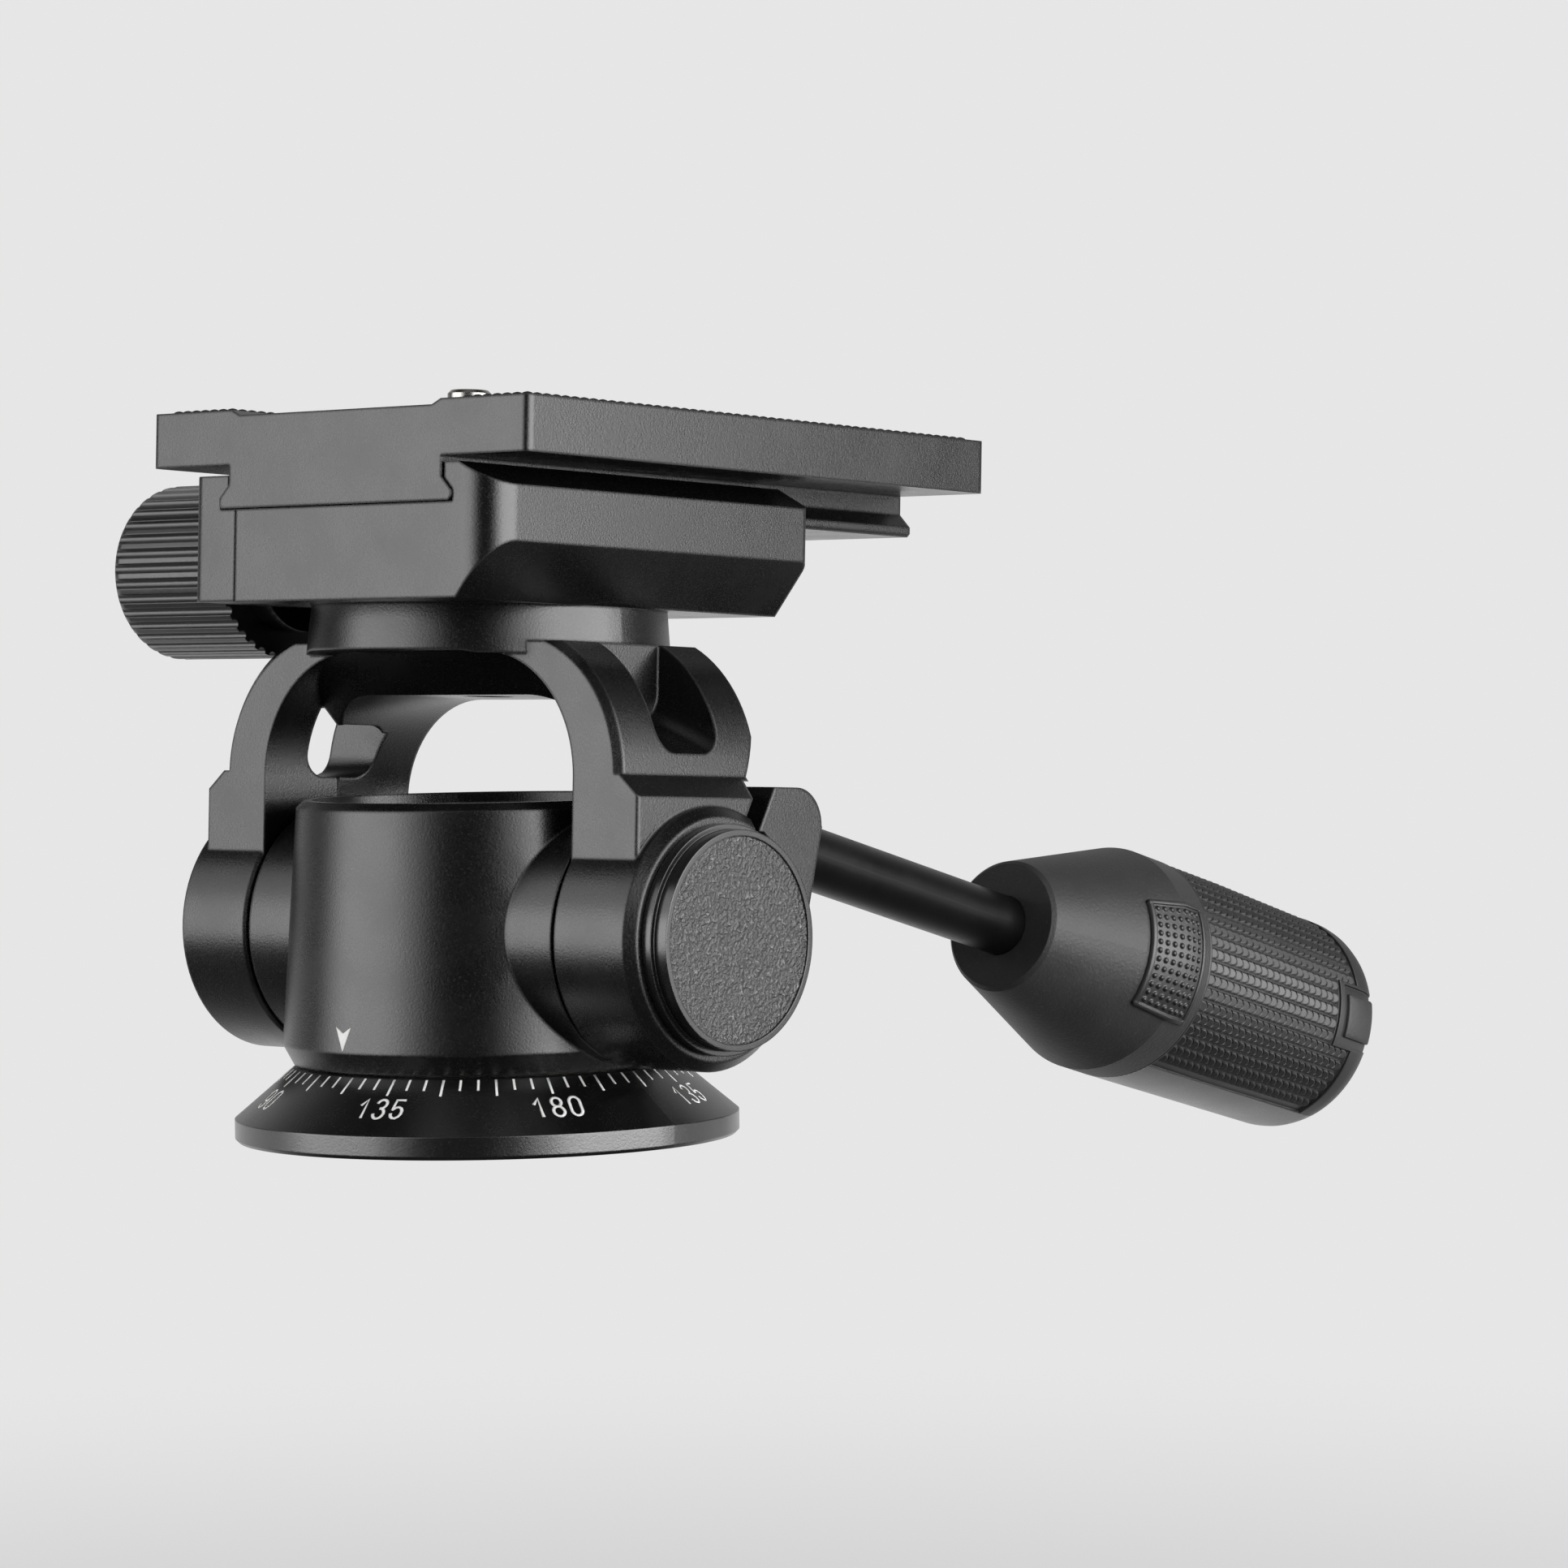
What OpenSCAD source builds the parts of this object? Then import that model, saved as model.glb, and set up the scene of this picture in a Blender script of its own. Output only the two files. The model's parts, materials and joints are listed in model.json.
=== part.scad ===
// Two-way pan and tilt head with a twist handle and a dovetail quick release plate.
// Z is the pan axis and points up, X is the tilt axis, and the front of the head faces -Y.
// The origin is the middle of the underside of the base. All sizes are millimetres.

/* [Base] */
// Radius of the base
base_r = 30; // [27:0.5:36]
// Height of the upright wall round the base
base_wall_h = 2.65; // [1.5:0.05:5]
// Radius of the flat top of the base
base_top_r = 22.75; // [20:0.25:26]
// Height of the base
base_h = 8.75; // [7:0.25:12]
// Chamfer round the foot of the base
base_edge = 0.4; // [0.2:0.1:1]

/* [Pan spindle] */
// Radius of the spindle that the drum turns on
spindle_r = 8; // [7.5:0.25:10]
// Radius of the spindle flange in the underside
flange_r = 14.5; // [13.5:0.5:18]
// Thickness of the spindle flange
flange_t = 3.5; // [2.5:0.25:5]
// Radius of the threaded bush in the spindle
bush_r = 6.5; // [5.5:0.1:7]
// Length of the threaded bush
bush_len = 10.5; // [8:0.5:12]
// Wall radius of the 3/8 inch tripod thread
tripod_thread_r = 3.97; // [3.5:0.01:4.8]
// Radius of the shanks of the flange screws
flange_screw_r = 1.5; // [1:0.25:2]
// Radius of the spindle thread under the pan nut
pan_thread_r = 5; // [4:0.25:6]
// Radius of the spring washer under the pan nut
pan_washer_r = 11; // [10.5:0.25:13]
// Thickness of the spring washer
pan_washer_t = 0.8; // [0.5:0.1:1.5]
// Height of the pan nut
pan_nut_h = 3.2; // [2.5:0.1:4]
// Wall of the bush that lines the floor of the drum
pan_bush_wall = 1.5; // [1:0.25:2]

/* [Drum] */
// Gap between the base and the drum
drum_gap = 0.3; // [0.2:0.05:1]
// Largest radius of the drum, just above its lower chamfer
drum_low_r = 24.15; // [23:0.05:26]
// Radius of the drum under its rim
drum_top_r = 22.1; // [21:0.05:23]
// Height of the lower chamfer
drum_chamfer_h = 2.35; // [1:0.05:4]
// Depth of the lower chamfer
drum_chamfer_r = 1.25; // [0.5:0.05:2]
// Chamfer round the rim
rim_chamfer = 0.9; // [0.4:0.1:1.4]
// Width of the rim with its chamfer
rim_w = 1.9; // [1.6:0.1:2.6]
// Wall of the drum
drum_wall = 2.9; // [2:0.1:4]
// Thickness of the drum floor
drum_floor_t = 4.95; // [4:0.05:6]
// Thickness of the cover in the top of the drum
cover_t = 2; // [1:0.25:3]
// Depth of the cover below the rim
cover_depth = 1.05; // [0.5:0.05:2]
// Height of the rim above the trunnion bosses
rim_over = 1.05; // [0.5:0.05:3]
// Radius of the trunnion bosses
boss_r = 14.9; // [14:0.1:16]
// Half the width of the drum over its bosses
boss_x = 24.9; // [24.6:0.1:28]
// Radius of the boss stubs inside the drum
stub_r = 10.5; // [9.5:0.25:12]
// Inner radius of the drag ring
drag_in_r = 13; // [11.5:0.5:15]
// Outer radius of the drag ring
drag_out_r = 19; // [17:0.5:20]
// Thickness of the drag ring
drag_t = 1.6; // [1:0.1:2.4]

/* [Tilt joint] */
// Tilt of the yoke as it stands, with the rear lowered for a minus sign
rest_tilt = -2.8; // [-10:0.1:10]
// Radius of the trunnion hubs
hub_r = 9; // [8:0.1:10]
// Radius of the spigots that seat the hubs in the drum
spigot_r = 6.5; // [5:0.25:8]
// Wall of the sleeves that line the rings of the yoke
sleeve_wall = 0.95; // [0.6:0.05:1.5]
// Wall of the rings of the yoke
ring_wall = 5.2; // [4.5:0.05:7]
// Length of the rings along the tilt axis
ring_len = 12.05; // [11.5:0.05:15]
// Chamfer on the outer ends of the rings
ring_chamfer = 1.2; // [0.5:0.1:1.5]
// Chamfer on the inner ends of the rings
ring_edge = 0.3; // [0.1:0.1:1]
// Height of the rings above the underside of the drum
ring_lift = 0.05; // [0:0.05:2]
// Thickness of the thrust washers between drum and yoke
thrust_t = 0.45; // [0.3:0.05:1]
// Radius of the thrust washers
thrust_r = 13.5; // [11.5:0.25:14]
// Radius of the through bolt
bolt_r = 3; // [2.5:0.25:4]
// Length of the head of the through bolt
bolt_head_t = 5; // [4:0.25:6]
// Radius of the flange of the right tilt cap
cap_flange_r = 13.3; // [12.8:0.1:14]
// Radius of the rim of the tilt caps
cap_rim_r = 12.65; // [12:0.05:12.75]
// Height of the right tilt cap
cap_h = 3; // [2.4:0.1:4]
// Height of the low left tilt cap
cap_low_h = 1; // [0.8:0.1:2]
// Height of the flange of the right tilt cap
cap_flange_h = 1.2; // [0.8:0.1:1.6]
// Radius of the grained inserts in the tilt caps
insert_r = 11.9; // [10:0.1:11.95]
// Thickness of the inserts
insert_t = 0.5; // [0.3:0.05:0.8]

/* [Yoke] */
// Width of the legs from front to rear
leg_w = 24.4; // [20:0.2:30]
// Thickness of the legs
leg_t = 7.15; // [5:0.05:8]
// Thickness of the blocks above the rings
block_t = 10.1; // [9:0.05:10.8]
// Height of the blocks above the rings
block_over = 1; // [0.5:0.1:3]
// Rise of the sloped shoulder from block to leg
shoulder_rise = 2.5; // [1:0.1:4]
// Chamfer along the edges of the legs
leg_chamfer = 0.9; // [0.4:0.1:2.5]
// Small chamfer along the edges of the blocks
block_chamfer = 0.3; // [0.1:0.1:1]
// Inner radius of the arch corners
arch_in_r = 14.5; // [10:0.25:16]
// Outer radius of the arch corners
arch_out_r = 17.4; // [14:0.1:20]
// Inner radius of the arch corners behind the bevel
arch_rear_r = 12.5; // [8:0.25:14]
// Height of the bevel along the front edge of the arch
arch_bevel_h = 4.9; // [2:0.1:8]
// Angle of that bevel from level
arch_bevel = 43; // [30:1:60]
// Clearance between the arch and the drum as the yoke tips
arch_clear = 0.4; // [0.3:0.05:5]
// Radius of the round seat under the clamp
seat_r = 21.45; // [19:0.05:24]
// Flare of the seat, wider at its foot
seat_flare = 0.25; // [0:0.05:0.5]
// Height of the seat above the front edge of the arch
seat_h = 5.45; // [4:0.05:8]
// Width of the slots in the legs
slot_w = 10.7; // [6:0.1:14]
// Height of the foot of the slots above the arch centres
slot_lift = 2.8; // [1:0.1:6]
// Corner radius of the slots
slot_corner = 3; // [1:0.25:3]
// Slope of the foot of the right slot, up towards its back wall
slot_slope = 22; // [10:1:24]
// Thickness of the wall that backs the slots, over the radius of the seat
slot_wall = 0.95; // [0.5:0.05:2]
// Depth of the foot of the left slot below that of the right one
slot_drop = 3; // [0:0.1:4]
// Height of the lintel over the opening of the left slot, above the foot of the right one
lintel_rise = 3.4; // [2:0.1:5]
// Angle of the slit in the right ring, rear of upright
slit_angle = 27; // [22:1:32]
// Width of the slit
slit_w = 2.8; // [1.5:0.1:3.5]
// Distance of the slit behind the tilt axis
slit_back = 0.75; // [0:0.05:1.5]
// Reach of the ear behind the ring
ear_over = 1.45; // [0.4:0.05:3]
// Height of the ear above the block
ear_rise = 1.4; // [0.2:0.05:2]
// Corner radius of the ear
ear_corner = 4.5; // [2:0.25:5]

/* [Clamp] */
// Length of the clamp from front to rear
clamp_len = 55; // [45:0.5:70]
// Place of the middle of the clamp along Y
clamp_y = 0.7; // [-5:0.1:5]
// Height of the bed of the clamp above the seat
bed_h = 10.9; // [9:0.1:14]
// Thickness of the fixed jaw behind the dovetail
fixed_jaw_t = 5.85; // [5:0.05:8]
// Thickness of the moving jaw behind the dovetail
moving_jaw_t = 4.7; // [3:0.05:7]
// Reach of the foot of the moving jaw under the dovetail
jaw_foot = 2.7; // [1.5:0.05:6]
// Height of the fixed jaw above the bed
fixed_jaw_h = 4.5; // [3.6:0.05:4.8]
// Height of the moving jaw above the bed
moving_jaw_h = 4; // [3.6:0.05:4.8]
// Depth of the chamfer under the fixed jaw
under_chamfer_x = 5.2; // [2:0.1:8]
// Height of the chamfer under the fixed jaw
under_chamfer_z = 6.5; // [2:0.1:8]
// Radius of the front corner of the clamp
clamp_corner = 4.5; // [2:0.25:6]
// Radius of the rear corner of the clamp
clamp_rear_corner = 1; // [0.5:0.25:4]
// Small edge chamfer of the moving jaw
jaw_edge = 0.8; // [0.4:0.1:1.5]
// Height of the clamping screw above the seat
knob_rise = 4.85; // [4.3:0.05:6]
// Place of the clamping screw along Y
knob_y = -8; // [-11:0.5:-7]
// Radius of the clamping screw
knob_screw_r = 3; // [2.5:0.25:3.5]
// Length of the clamping screw inside the clamp body
knob_screw_grip = 20; // [12:0.5:26]
// Distance of the guide pins from the clamping screw
pin_pitch = 13; // [10:0.5:15]
// Radius of the guide pins
pin_r = 1.5; // [1:0.25:2]
// Radius of the jaw springs
spring_r = 2.6; // [2.4:0.1:3]
// Length of the jaw springs
spring_len = 8; // [6:0.5:10]
// Radius of the screw that holds the clamp on the yoke
clamp_screw_r = 3; // [2.5:0.25:3.5]
// Radius of the head of the clamp screw
clamp_head_r = 5.6; // [4.5:0.1:6]
// Depth of the clamp screw in the yoke
clamp_screw_grip = 6.5; // [5:0.5:7]
// Distance of the dowels from the pan axis
dowel_x = 13; // [9:0.5:15]
// Radius of the dowels
dowel_r = 1.5; // [1:0.25:2]
// Depth of the dowels in clamp and yoke
dowel_grip = 4; // [2:0.5:5]

/* [Knob] */
// Radius of the knob
knob_r = 10.7; // [9:0.1:12]
// Length of the knob
knob_len = 20; // [14:0.5:24]
// Number of ribs round the knob
knob_ribs = 36; // [20:1:44]
// Radius of the grooves between the ribs
groove_r = 0.6; // [0.3:0.05:0.7]
// Rounding of the outer end of the knob
knob_round = 2; // [1:0.25:3]
// Length of the collar between the jaw and the knob
collar_len = 3.8; // [2:0.1:6]
// Radius of the collar
collar_r = 7.5; // [6:0.25:9]
// Radius of the brass core of the knob
core_r = 6; // [5:0.25:7]
// Radius of the end cap of the knob
knob_cap_r = 7.5; // [6.5:0.25:8.5]
// Thickness of the end cap of the knob
knob_cap_t = 1.5; // [1:0.1:2]

/* [Plate] */
// Width of the plate
plate_w = 61.6; // [50:0.2:75]
// Length of the plate
plate_len = 81.5; // [60:0.5:120]
// Thickness of the plate above its dovetail
plate_t = 6.45; // [5:0.05:9]
// Place of the middle of the plate along X
plate_x = 0.75; // [-1:0.05:2]
// Lead of the plate in front of the clamp
plate_lead = 0.25; // [0:0.05:5]
// Upright corner radius of the plate
plate_corner = 1; // [0.5:0.25:4]
// Width of the dovetail
dovetail_w = 38; // [36:0.1:40]
// Depth of the neck of the dovetail on each side
neck_inset = 1.6; // [1:0.05:2]
// Height of the upright edge of the dovetail
dovetail_edge = 0.8; // [0.4:0.05:1]
// Chamfer under the dovetail
dovetail_chamfer = 0.4; // [0.2:0.05:0.8]
// Height of the whole dovetail
dovetail_h = 5.1; // [5:0.05:7]
// Width of the floor of the channel in the top of the plate
channel_w = 31.7; // [20:0.1:40]
// Run of the sloped sides of the channel
channel_side = 1.4; // [0.5:0.1:3]
// Depth of the channel
channel_t = 0.65; // [0.5:0.05:2]
// Margin round the rubber pads
pad_margin = 1.2; // [0.6:0.1:3]
// Thickness of the rubber pads
pad_t = 0.45; // [0.3:0.05:1]
// Distance of the camera screw behind the front of the plate
screw_back = 22.25; // [15:0.25:45]
// Radius of the 1/4 inch camera thread
camera_thread_r = 3.175; // [3:0.005:3.3]
// Height of the camera screw above the plate
camera_screw_h = 3.3; // [2:0.1:6]
// Radius of the head of the camera screw
camera_head_r = 7; // [5:0.25:8]
// Thickness of the head of the camera screw
camera_head_t = 2.6; // [1.8:0.1:3.5]

/* [Handle] */
// Angle of the handle below level
handle_drop = 12.5; // [5:0.5:20]
// Metal between the sleeve and the screw of the handle
stud_wall = 1.2; // [1:0.05:3]
// Radius of the threaded end of the handle
stud_r = 3; // [2.5:0.25:3.5]
// Depth of the threaded end behind the middle of the ring
stud_grip = 3; // [2:0.5:5]
// Radius of the rod
rod_r = 3.75; // [3.5:0.25:5]
// Free length of the rod between the ear and the grip
rod_free = 42; // [30:1:80]
// Radius of the front of the grip
grip_front_r = 8.3; // [6.5:0.1:10]
// Length of the cone of the grip
grip_cone_len = 24.7; // [15:0.1:30]
// Radius of the barrel of the grip
grip_r = 14.4; // [12:0.1:17]
// Length of the rubber sleeve
sleeve_len = 38.9; // [30:0.1:60]
// Wall of the rubber sleeve
rubber_wall = 2; // [1:0.1:3]
// Taper of the rubber sleeve on radius
sleeve_taper = 0.4; // [0:0.05:1]
// Length of the end cap of the grip
grip_cap_len = 1.4; // [1:0.1:4]
// Length of the thumb pad along the grip
thumb_len = 9; // [6:0.5:14]
// Angle that the thumb pad covers round the grip
thumb_angle = 62; // [30:2:90]
// Height of the thumb pad above the cone
thumb_t = 0.5; // [0.3:0.05:1]

/* [Fits] */
// Gap between flat faces that slide on each other
run_gap = 0.1; // [0.05:0.01:0.2]
// Radial clearance of turning shafts
shaft_gap = 0.05; // [0.02:0.01:0.1]
// Radial gap of pieces that are seated for good
seat_gap = 0.02; // [0.01:0.005:0.05]

/* [Hidden] */
$fn = 96;
far = 200;
cut = 1;
// Least wall at the foot of blind holes, depth of sunk heads, gap round loose pieces
shell = 1.5;
sunk = 0.3;
loose_gap = 0.3;

// Heights of the base and the drum
drum_z = base_h + drum_gap;
floor_z = drum_z + drum_floor_t;
ring_bore_r = hub_r + shaft_gap + sleeve_wall + seat_gap;
ring_r = ring_bore_r + ring_wall;
tilt_z = drum_z + max(ring_r, boss_r) + ring_lift;
rim_z = tilt_z + boss_r + rim_over;
cover_z = rim_z - cover_depth - cover_t;
cavity_r = drum_top_r - drum_wall;
cover_r = drum_top_r - rim_w;

// Pan spindle
flange_screw_pitch = (spindle_r + flange_r) / 2;
flange_head_r = 1.8 * flange_screw_r;
flange_screw_end = base_h - shell;
pillar_z = floor_z + run_gap;
pan_nut_z = pillar_z + pan_washer_t;
pan_nut_r = 1.65 * pan_thread_r;
pan_thread_over = 0.4;
pan_bush_r = spindle_r + shaft_gap + pan_bush_wall;

// Tilt joint, on the right side
ring_in = boss_x + thrust_t + run_gap;
ring_out = ring_in + ring_len;
hub_end = ring_out + run_gap;
stub_in = pan_washer_r + shell;
bolt_head_r = bolt_r * 5 / 3;
bolt_nut_r = bolt_r * 1.92;
pocket_r = bolt_nut_r + loose_gap;
cap_plug_len = 2.7;
pocket_x = hub_end - cap_plug_len - run_gap - bolt_head_t;
insert_step = 0.2;
insert_depth = insert_t + insert_step;

// Yoke
leg_y = leg_w / 2;
leg_out = ring_in + leg_t;
block_out = ring_in + block_t;
block_z = tilt_z + ring_r + block_over;
shoulder_z = block_z + shoulder_rise;
drum_swing = max(
    norm([drum_top_r, rim_z - tilt_z]),
    norm([drum_low_r, tilt_z - drum_z - drum_chamfer_h]),
    norm([drum_low_r - drum_chamfer_r, tilt_z - drum_z])
);
arch_under_z = tilt_z + drum_swing + arch_clear;
arch_front_z = arch_under_z + arch_bevel_h;
arch_z = arch_front_z - arch_in_r;
prong_over = 1.15;
prong_z = arch_front_z + prong_over;
seat_z = arch_front_z + seat_h;
slot_z = arch_z + slot_lift;
slot_back = seat_r + slot_wall;
lintel_z = slot_z + lintel_rise;
ear_z = block_z + ear_rise;
slit_over = 0.6;
slit_z = ear_z + slit_over;
ear_back = ring_r + ear_over;
ear_low = ring_r / 3;
slit_front = slit_back - slit_w / 2;
slit_rear = slit_back + slit_w / 2;
relief_angle = 20;
relief_gap = 2.2;
relief_y = (ear_z - tilt_z) * tan(slit_angle) + slit_rear / cos(slit_angle) - relief_gap;

// Clamp
clamp_front = clamp_y - clamp_len / 2;
clamp_back = clamp_y + clamp_len / 2;
bed_z = seat_z + bed_h;
dovetail_x = dovetail_w / 2;
jaw_wall_x = dovetail_x + run_gap;
fixed_out = plate_x + jaw_wall_x + fixed_jaw_t;
moving_out = plate_x - jaw_wall_x - moving_jaw_t;
seam_x = plate_x - jaw_wall_x + jaw_foot;
jaw_in = seam_x - 2 * run_gap;
fixed_bevel = 2.5;
lip_gap = 0.3;
knob_z = seat_z + knob_rise;
pin_end = moving_out + shell;
pin_grip = 8.5;
clamp_head_z = bed_z - sunk;

// Knob, along -X from the moving jaw
collar_x = moving_out - run_gap;
knob_in = collar_x - collar_len;
knob_out = knob_in - knob_len;
core_end = knob_out + knob_cap_t + shell;

// Plate
dovetail_z = bed_z + run_gap;
neck_z = dovetail_z + dovetail_chamfer + dovetail_edge + neck_inset;
slab_z = dovetail_z + dovetail_h;
plate_z = slab_z + plate_t;
plate_front = clamp_front - plate_lead;
camera_y = plate_front + screw_back;
camera_hole_r = camera_thread_r + loose_gap;
camera_shank_r = camera_thread_r * 0.82;
camera_head_z = dovetail_z + sunk;
channel_z = plate_z - channel_t;
clip_wall = 1.9;
clip_r = camera_thread_r + clip_wall;
clip_z = channel_z + run_gap;
clip_t = channel_t / 2;

// Handle, measured along the rod from the foot of the square dropped from the tilt axis
handle_x = (ring_in + block_out) / 2;
handle_rise = ring_bore_r + stud_wall + stud_r;
rod_start = ear_back + run_gap;
grip_start = rod_start + rod_free;
seam_s = grip_start + grip_cone_len;
shoulder_s = seam_s - grip_cone_len / 5;
sleeve_end = seam_s + sleeve_len;
grip_core_r = grip_r - rubber_wall;
rod_stop = 8;
rod_end = sleeve_end - rod_stop;
sleeve_edge = 1;
thumb_stop = 1.5;

// Finishes
black_metal = "#3a3a3c";
dark_metal = "#2a2a2c";
gloss_black = "#161618";
steel = "#a9abad";
bronze = "#a5793c";
polymer = "#d8d6cc";
black_plastic = "#303032";
black_rubber = "#3b3b3d";

// Solid along the tilt axis direction, from x0 to x1
module x_rod(r, x0, x1) {
    translate([x0, 0, 0]) rotate([0, 90, 0]) cylinder(h = x1 - x0, r = r);
}

// Ring with a plain bore, standing on z0
module tube(r_out, r_in, z0, h) {
    translate([0, 0, z0]) difference() {
        cylinder(h = h, r = r_out);
        translate([0, 0, -cut]) cylinder(h = h + 2 * cut, r = r_in);
    }
}

// Right side for s = 1, its mirror image for s = -1
module side(s) {
    mirror([s < 0 ? 1 : 0, 0, 0]) children();
}

// Children drawn about the tilt axis
module at_tilt() {
    translate([0, 0, tilt_z]) children();
}

// Children that tip with the yoke, drawn level and set to the tilt at rest
module tipped() {
    at_tilt() rotate([rest_tilt, 0, 0]) translate([0, 0, -tilt_z]) children();
}

// Outline in X and Z drawn out along Y
module along_y(y0, y1) {
    translate([0, y1, 0]) rotate([90, 0, 0]) linear_extrude(y1 - y0) children();
}

// Outline in Y and Z drawn out along X
module along_x(x0, x1) {
    translate([x0, 0, 0]) rotate([90, 0, 90]) linear_extrude(x1 - x0) children();
}

// Rectangle with its own radius at each corner: left front, right front, right back, left back
module soft_rect(x0, y0, x1, y1, radii) {
    corners = [[x0, y0, 0, 0], [x1, y0, 1, 0], [x1, y1, 1, 1], [x0, y1, 0, 1]];
    difference() {
        translate([x0, y0]) square([x1 - x0, y1 - y0]);
        for (i = [0:3]) if (radii[i] > 0) translate([corners[i][0], corners[i][1]])
            mirror([corners[i][2], 0]) mirror([0, corners[i][3]]) difference() {
                translate([-cut, -cut]) square(radii[i] + cut);
                translate([radii[i], radii[i]]) circle(r = radii[i]);
            }
    }
}

// Places of the three flange screws
module flange_screw_places() {
    for (i = [0:2]) rotate([0, 0, 120 * i]) translate([flange_screw_pitch, 0, 0]) children();
}

// Countersunk screw with its head down
module flange_screw(gap) {
    translate([0, 0, sunk]) {
        cylinder(h = flange_head_r - flange_screw_r, r1 = flange_head_r + gap, r2 = flange_screw_r + gap);
        cylinder(h = flange_screw_end - sunk + gap, r = flange_screw_r + gap);
    }
}

module base_ring() {
    color(dark_metal) difference() {
        rotate_extrude() polygon([
            [0, 0], [base_r - base_edge, 0], [base_r, base_edge], [base_r, base_wall_h],
            [base_top_r, base_h], [0, base_h]
        ]);
        translate([0, 0, -cut]) cylinder(h = flange_t + cut, r = flange_r + seat_gap);
        cylinder(h = base_h + cut, r = spindle_r + seat_gap);
        flange_screw_places() flange_screw(seat_gap);
    }
}

module pan_spindle() {
    color(steel) difference() {
        union() {
            cylinder(h = flange_t, r = flange_r);
            cylinder(h = pillar_z, r = spindle_r);
            cylinder(h = pan_nut_z + pan_nut_h + pan_thread_over, r = pan_thread_r);
        }
        translate([0, 0, -cut]) cylinder(h = bush_len + cut, r = bush_r + seat_gap);
        flange_screw_places() {
            flange_screw(seat_gap);
            translate([0, 0, -cut]) cylinder(h = sunk + cut, r = flange_head_r + seat_gap);
        }
    }
}

module thread_bush() {
    color(bronze) tube(bush_r, tripod_thread_r, 0, bush_len);
}

module flange_screws() {
    color(steel) flange_screw_places() flange_screw(0);
}

module pan_spring_washer() {
    color(steel) tube(pan_washer_r, pan_thread_r + seat_gap, pillar_z, pan_washer_t);
}

module pan_nut() {
    color(steel) translate([0, 0, pan_nut_z]) difference() {
        cylinder(h = pan_nut_h, r = pan_nut_r, $fn = 6);
        translate([0, 0, -cut]) cylinder(h = pan_nut_h + 2 * cut, r = pan_thread_r + seat_gap);
    }
}

// Outside of the drum without its bosses
module drum_shape() {
    rotate_extrude() polygon([
        [0, drum_z], [drum_low_r - drum_chamfer_r, drum_z], [drum_low_r, drum_z + drum_chamfer_h],
        [drum_top_r, rim_z - rim_chamfer], [drum_top_r - rim_chamfer, rim_z], [0, rim_z]
    ]);
}

module drum() {
    color(black_metal) difference() {
        union() {
            difference() {
                union() {
                    drum_shape();
                    at_tilt() x_rod(boss_r, -boss_x, boss_x);
                }
                translate([0, 0, floor_z]) cylinder(h = far, r = cavity_r);
                translate([0, 0, cover_z]) cylinder(h = far, r = cover_r + seat_gap);
            }
            for (s = [-1, 1]) side(s) at_tilt() x_rod(stub_r, stub_in, cavity_r + cut);
        }
        at_tilt() for (s = [-1, 1]) side(s) x_rod(spigot_r + seat_gap, stub_in - cut, boss_x + cut);
        translate([0, 0, drum_z - cut]) cylinder(h = drum_floor_t + 2 * cut, r = pan_bush_r + seat_gap);
        tube(drag_out_r + seat_gap, drag_in_r - seat_gap, drum_z - cut, drag_t - drum_gap + run_gap + cut);
    }
}

module drum_cover() {
    color(gloss_black) translate([0, 0, cover_z]) cylinder(h = cover_t, r = cover_r);
}

module pan_bush() {
    color(bronze) tube(pan_bush_r, spindle_r + shaft_gap, drum_z, drum_floor_t);
}

module drag_ring() {
    color(polymer) tube(drag_out_r, drag_in_r, base_h + run_gap, drag_t);
}

// Hub that the yoke turns on, drawn for the right side
module trunnion() {
    color(steel) at_tilt() difference() {
        union() {
            x_rod(hub_r, boss_x, hub_end);
            x_rod(spigot_r, stub_in, boss_x);
        }
        x_rod(bolt_r + seat_gap, stub_in - cut, hub_end);
        x_rod(pocket_r, pocket_x, hub_end + cut);
    }
}

module trunnion_left() {
    side(-1) trunnion();
}

module trunnion_right() {
    side(1) trunnion();
}

module tilt_bolt() {
    socket_r = bolt_r * 0.95;
    color(steel) at_tilt() difference() {
        union() {
            x_rod(bolt_r, -pocket_x - bolt_head_t, pocket_x);
            x_rod(bolt_head_r, pocket_x, pocket_x + bolt_head_t);
        }
        translate([pocket_x + bolt_head_t / 2, 0, 0]) rotate([0, 90, 0])
            cylinder(h = far, r = socket_r, $fn = 6);
    }
}

module tilt_nut() {
    color(steel) at_tilt() translate([-pocket_x, 0, 0]) rotate([0, -90, 0]) difference() {
        cylinder(h = bolt_head_t, r = bolt_nut_r, $fn = 6);
        translate([0, 0, -cut]) cylinder(h = bolt_head_t + 2 * cut, r = bolt_r + seat_gap);
    }
}

module thrust_washers() {
    color(polymer) at_tilt() for (s = [-1, 1]) side(s) difference() {
        x_rod(thrust_r, boss_x, boss_x + thrust_t);
        x_rod(hub_r + seat_gap, boss_x - cut, boss_x + thrust_t + cut);
    }
}

// Cap of height h over the end of a hub, drawn for the right side
module tilt_cap(h) {
    at_tilt() difference() {
        union() {
            x_rod(cap_rim_r, hub_end, hub_end + h);
            x_rod(pocket_r - seat_gap, hub_end - cap_plug_len, hub_end);
        }
        x_rod(insert_r + seat_gap, hub_end + h - insert_depth, hub_end + h + cut);
    }
}

// Grained insert in the face of a cap of height h
module cap_insert(h) {
    insert_x = hub_end + h - insert_depth;
    color(black_metal) at_tilt() x_rod(insert_r, insert_x, insert_x + insert_t);
}

module tilt_cap_left() {
    color(dark_metal) side(-1) tilt_cap(cap_low_h);
}

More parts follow.
